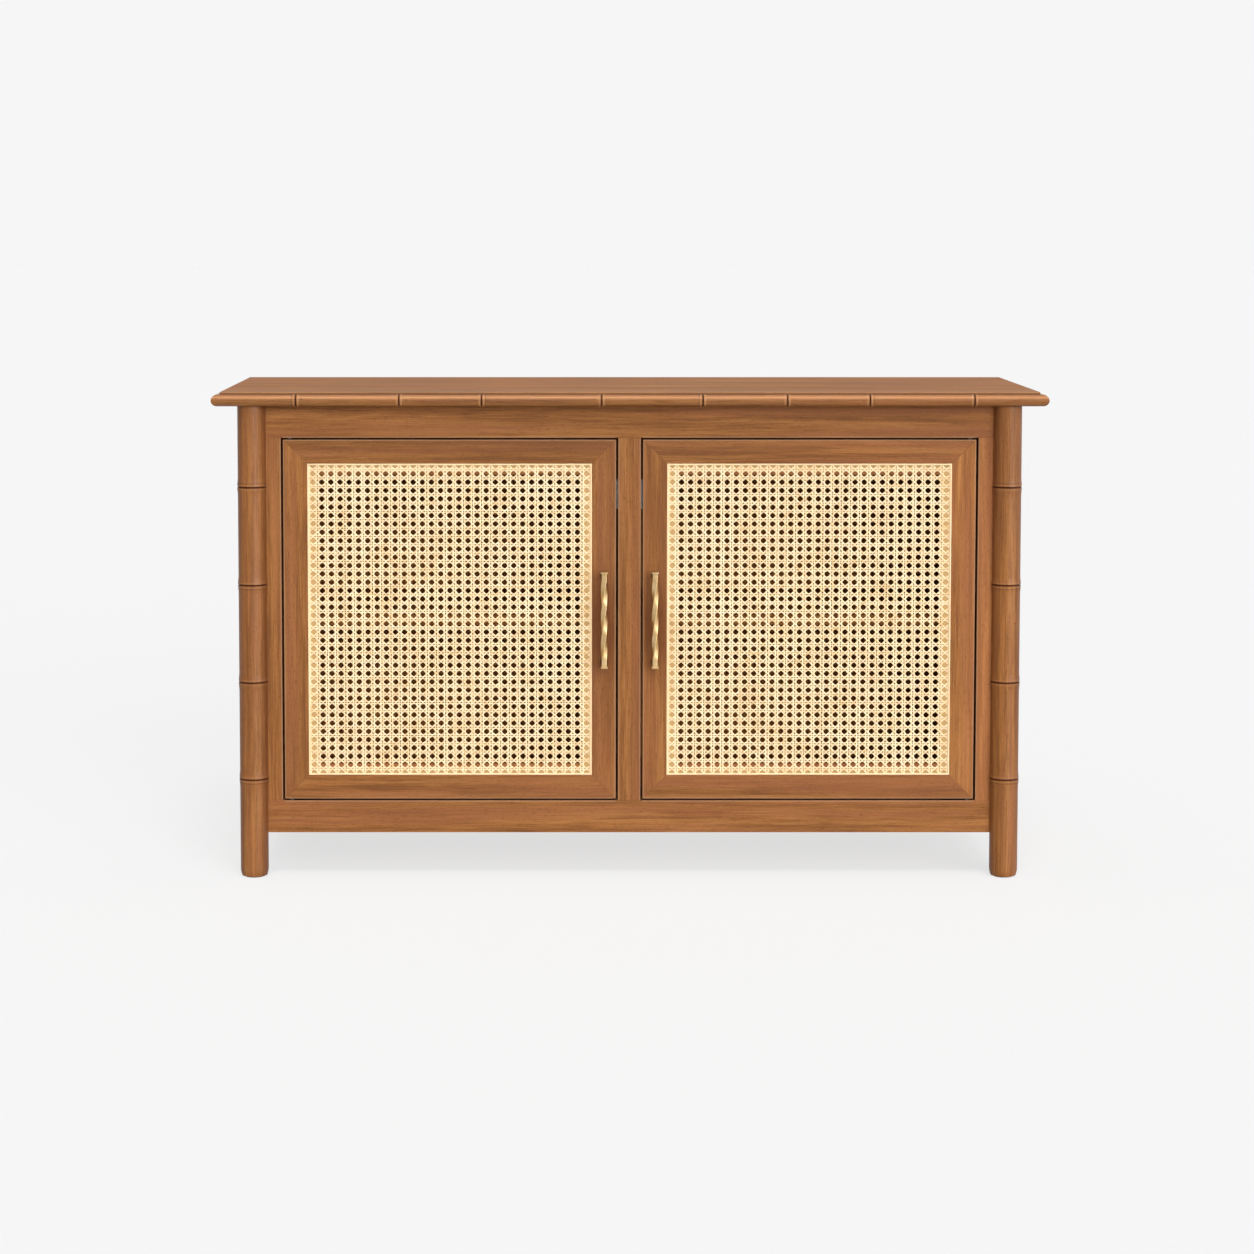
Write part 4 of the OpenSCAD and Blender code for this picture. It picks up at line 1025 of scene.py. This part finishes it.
def roundedSquare(side, corner):
    points = []
    half, steps = side / 2 - corner, pull["cornerSteps"]
    for quarter, (cx, cy) in enumerate(((half, half), (-half, half), (-half, -half), (half, -half))):
        for s in range(steps):
            a = math.pi / 2 * (quarter + s / (steps - 1))
            points.append((cx + corner * math.cos(a), cy + corner * math.sin(a)))
    return points


def sharpEdges(data, degrees):
    # edges whose two faces meet at more than so many degrees
    faces = {}
    for polygon in data.polygons:
        for key in polygon.edge_keys:
            faces.setdefault(key, []).append(polygon.normal.copy())
    limit = math.cos(math.radians(degrees))
    return [edge.index for edge in data.edges
            if len(faces[edge.key]) == 2 and faces[edge.key][0].dot(faces[edge.key][1]) < limit]


def turnPull(side, body):
    # a twisted square bar between two caps, on two round posts that stand on roses
    low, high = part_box(side + "_pull")
    x, y, z = (low.x + high.x) / 2, low.y + pull["capWide"] / 2 * mm, (low.z + high.z) / 2
    halfLong, halfTwist, cap = (high.z - low.z) / 2, pull["twistLength"] / 2 * mm, pull["capThick"] * mm
    verts, faces = [], []

    bar = roundedSquare(pull["bar"] * mm, pull["corner"] * mm)
    shares = [s / pull["slices"] for s in range(pull["slices"] + 1)]
    heights = [(-halfLong + cap / 2, 0.0), *((halfTwist * (2 * share - 1), share) for share in shares),
               (halfLong - cap / 2, 1.0)]
    rings = []
    for height, share in heights:
        turn = math.pi / 2 * pull["quarterTurns"] * share
        c, s = math.cos(turn), math.sin(turn)
        rings.append([(x + px * c - py * s, y + px * s + py * c, z + height) for px, py in bar])
    addTube(verts, faces, rings)

    easeShare = pull["capEaseShare"]
    plain, eased = (0.0, pull["capCorner"]), (pull["capEase"], pull["capEaseCorner"])
    capRings = ((0.0, eased), (easeShare, plain), (1 - easeShare, plain), (1.0, eased))
    post, rose, face = pull["postRadius"], pull["roseRadius"], high.y
    fillet, ease = pull["postFillet"], pull["roseEase"]
    under = face - pull["roseThick"] * mm
    turns = [2 * math.pi * k / pull["roundSteps"] for k in range(pull["roundSteps"])]
    for way in (-1, 1):
        rings = []
        for share, (drawn, corner) in capRings:
            at = z + way * (halfLong - cap * (1 - share))
            square = roundedSquare((pull["capWide"] - 2 * drawn) * mm, corner * mm)
            rings.append([(x + px, y + py, at) for px, py in square])
        addTube(verts, faces, rings if way > 0 else rings[::-1])
        postZ = z + way * (halfTwist + halfLong - cap) / 2
        rings = []
        for radius, at in ((post, y), (post, under - fillet * mm), (post + fillet, under),
                           (rose - ease, under), (rose, under + ease * mm), (rose, face)):
            rings.append([(x + radius * mm * math.cos(turn), at, postZ + radius * mm * math.sin(turn))
                          for turn in turns])
        addTube(verts, faces, rings[::-1])

    piece = addPiece(side + "_twisted_pull", verts, faces, satinBrass)
    for edge in sharpEdges(piece.data, pull["sharpFrom"]):
        piece.data.edges[edge].use_edge_sharp = True
    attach(piece, body)
    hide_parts(side + "_pull")


satinBrass = makeBrass()
for side in ("left", "right"):
    turnPull(side, side + "_door")
sayStage("the pulls are turned")
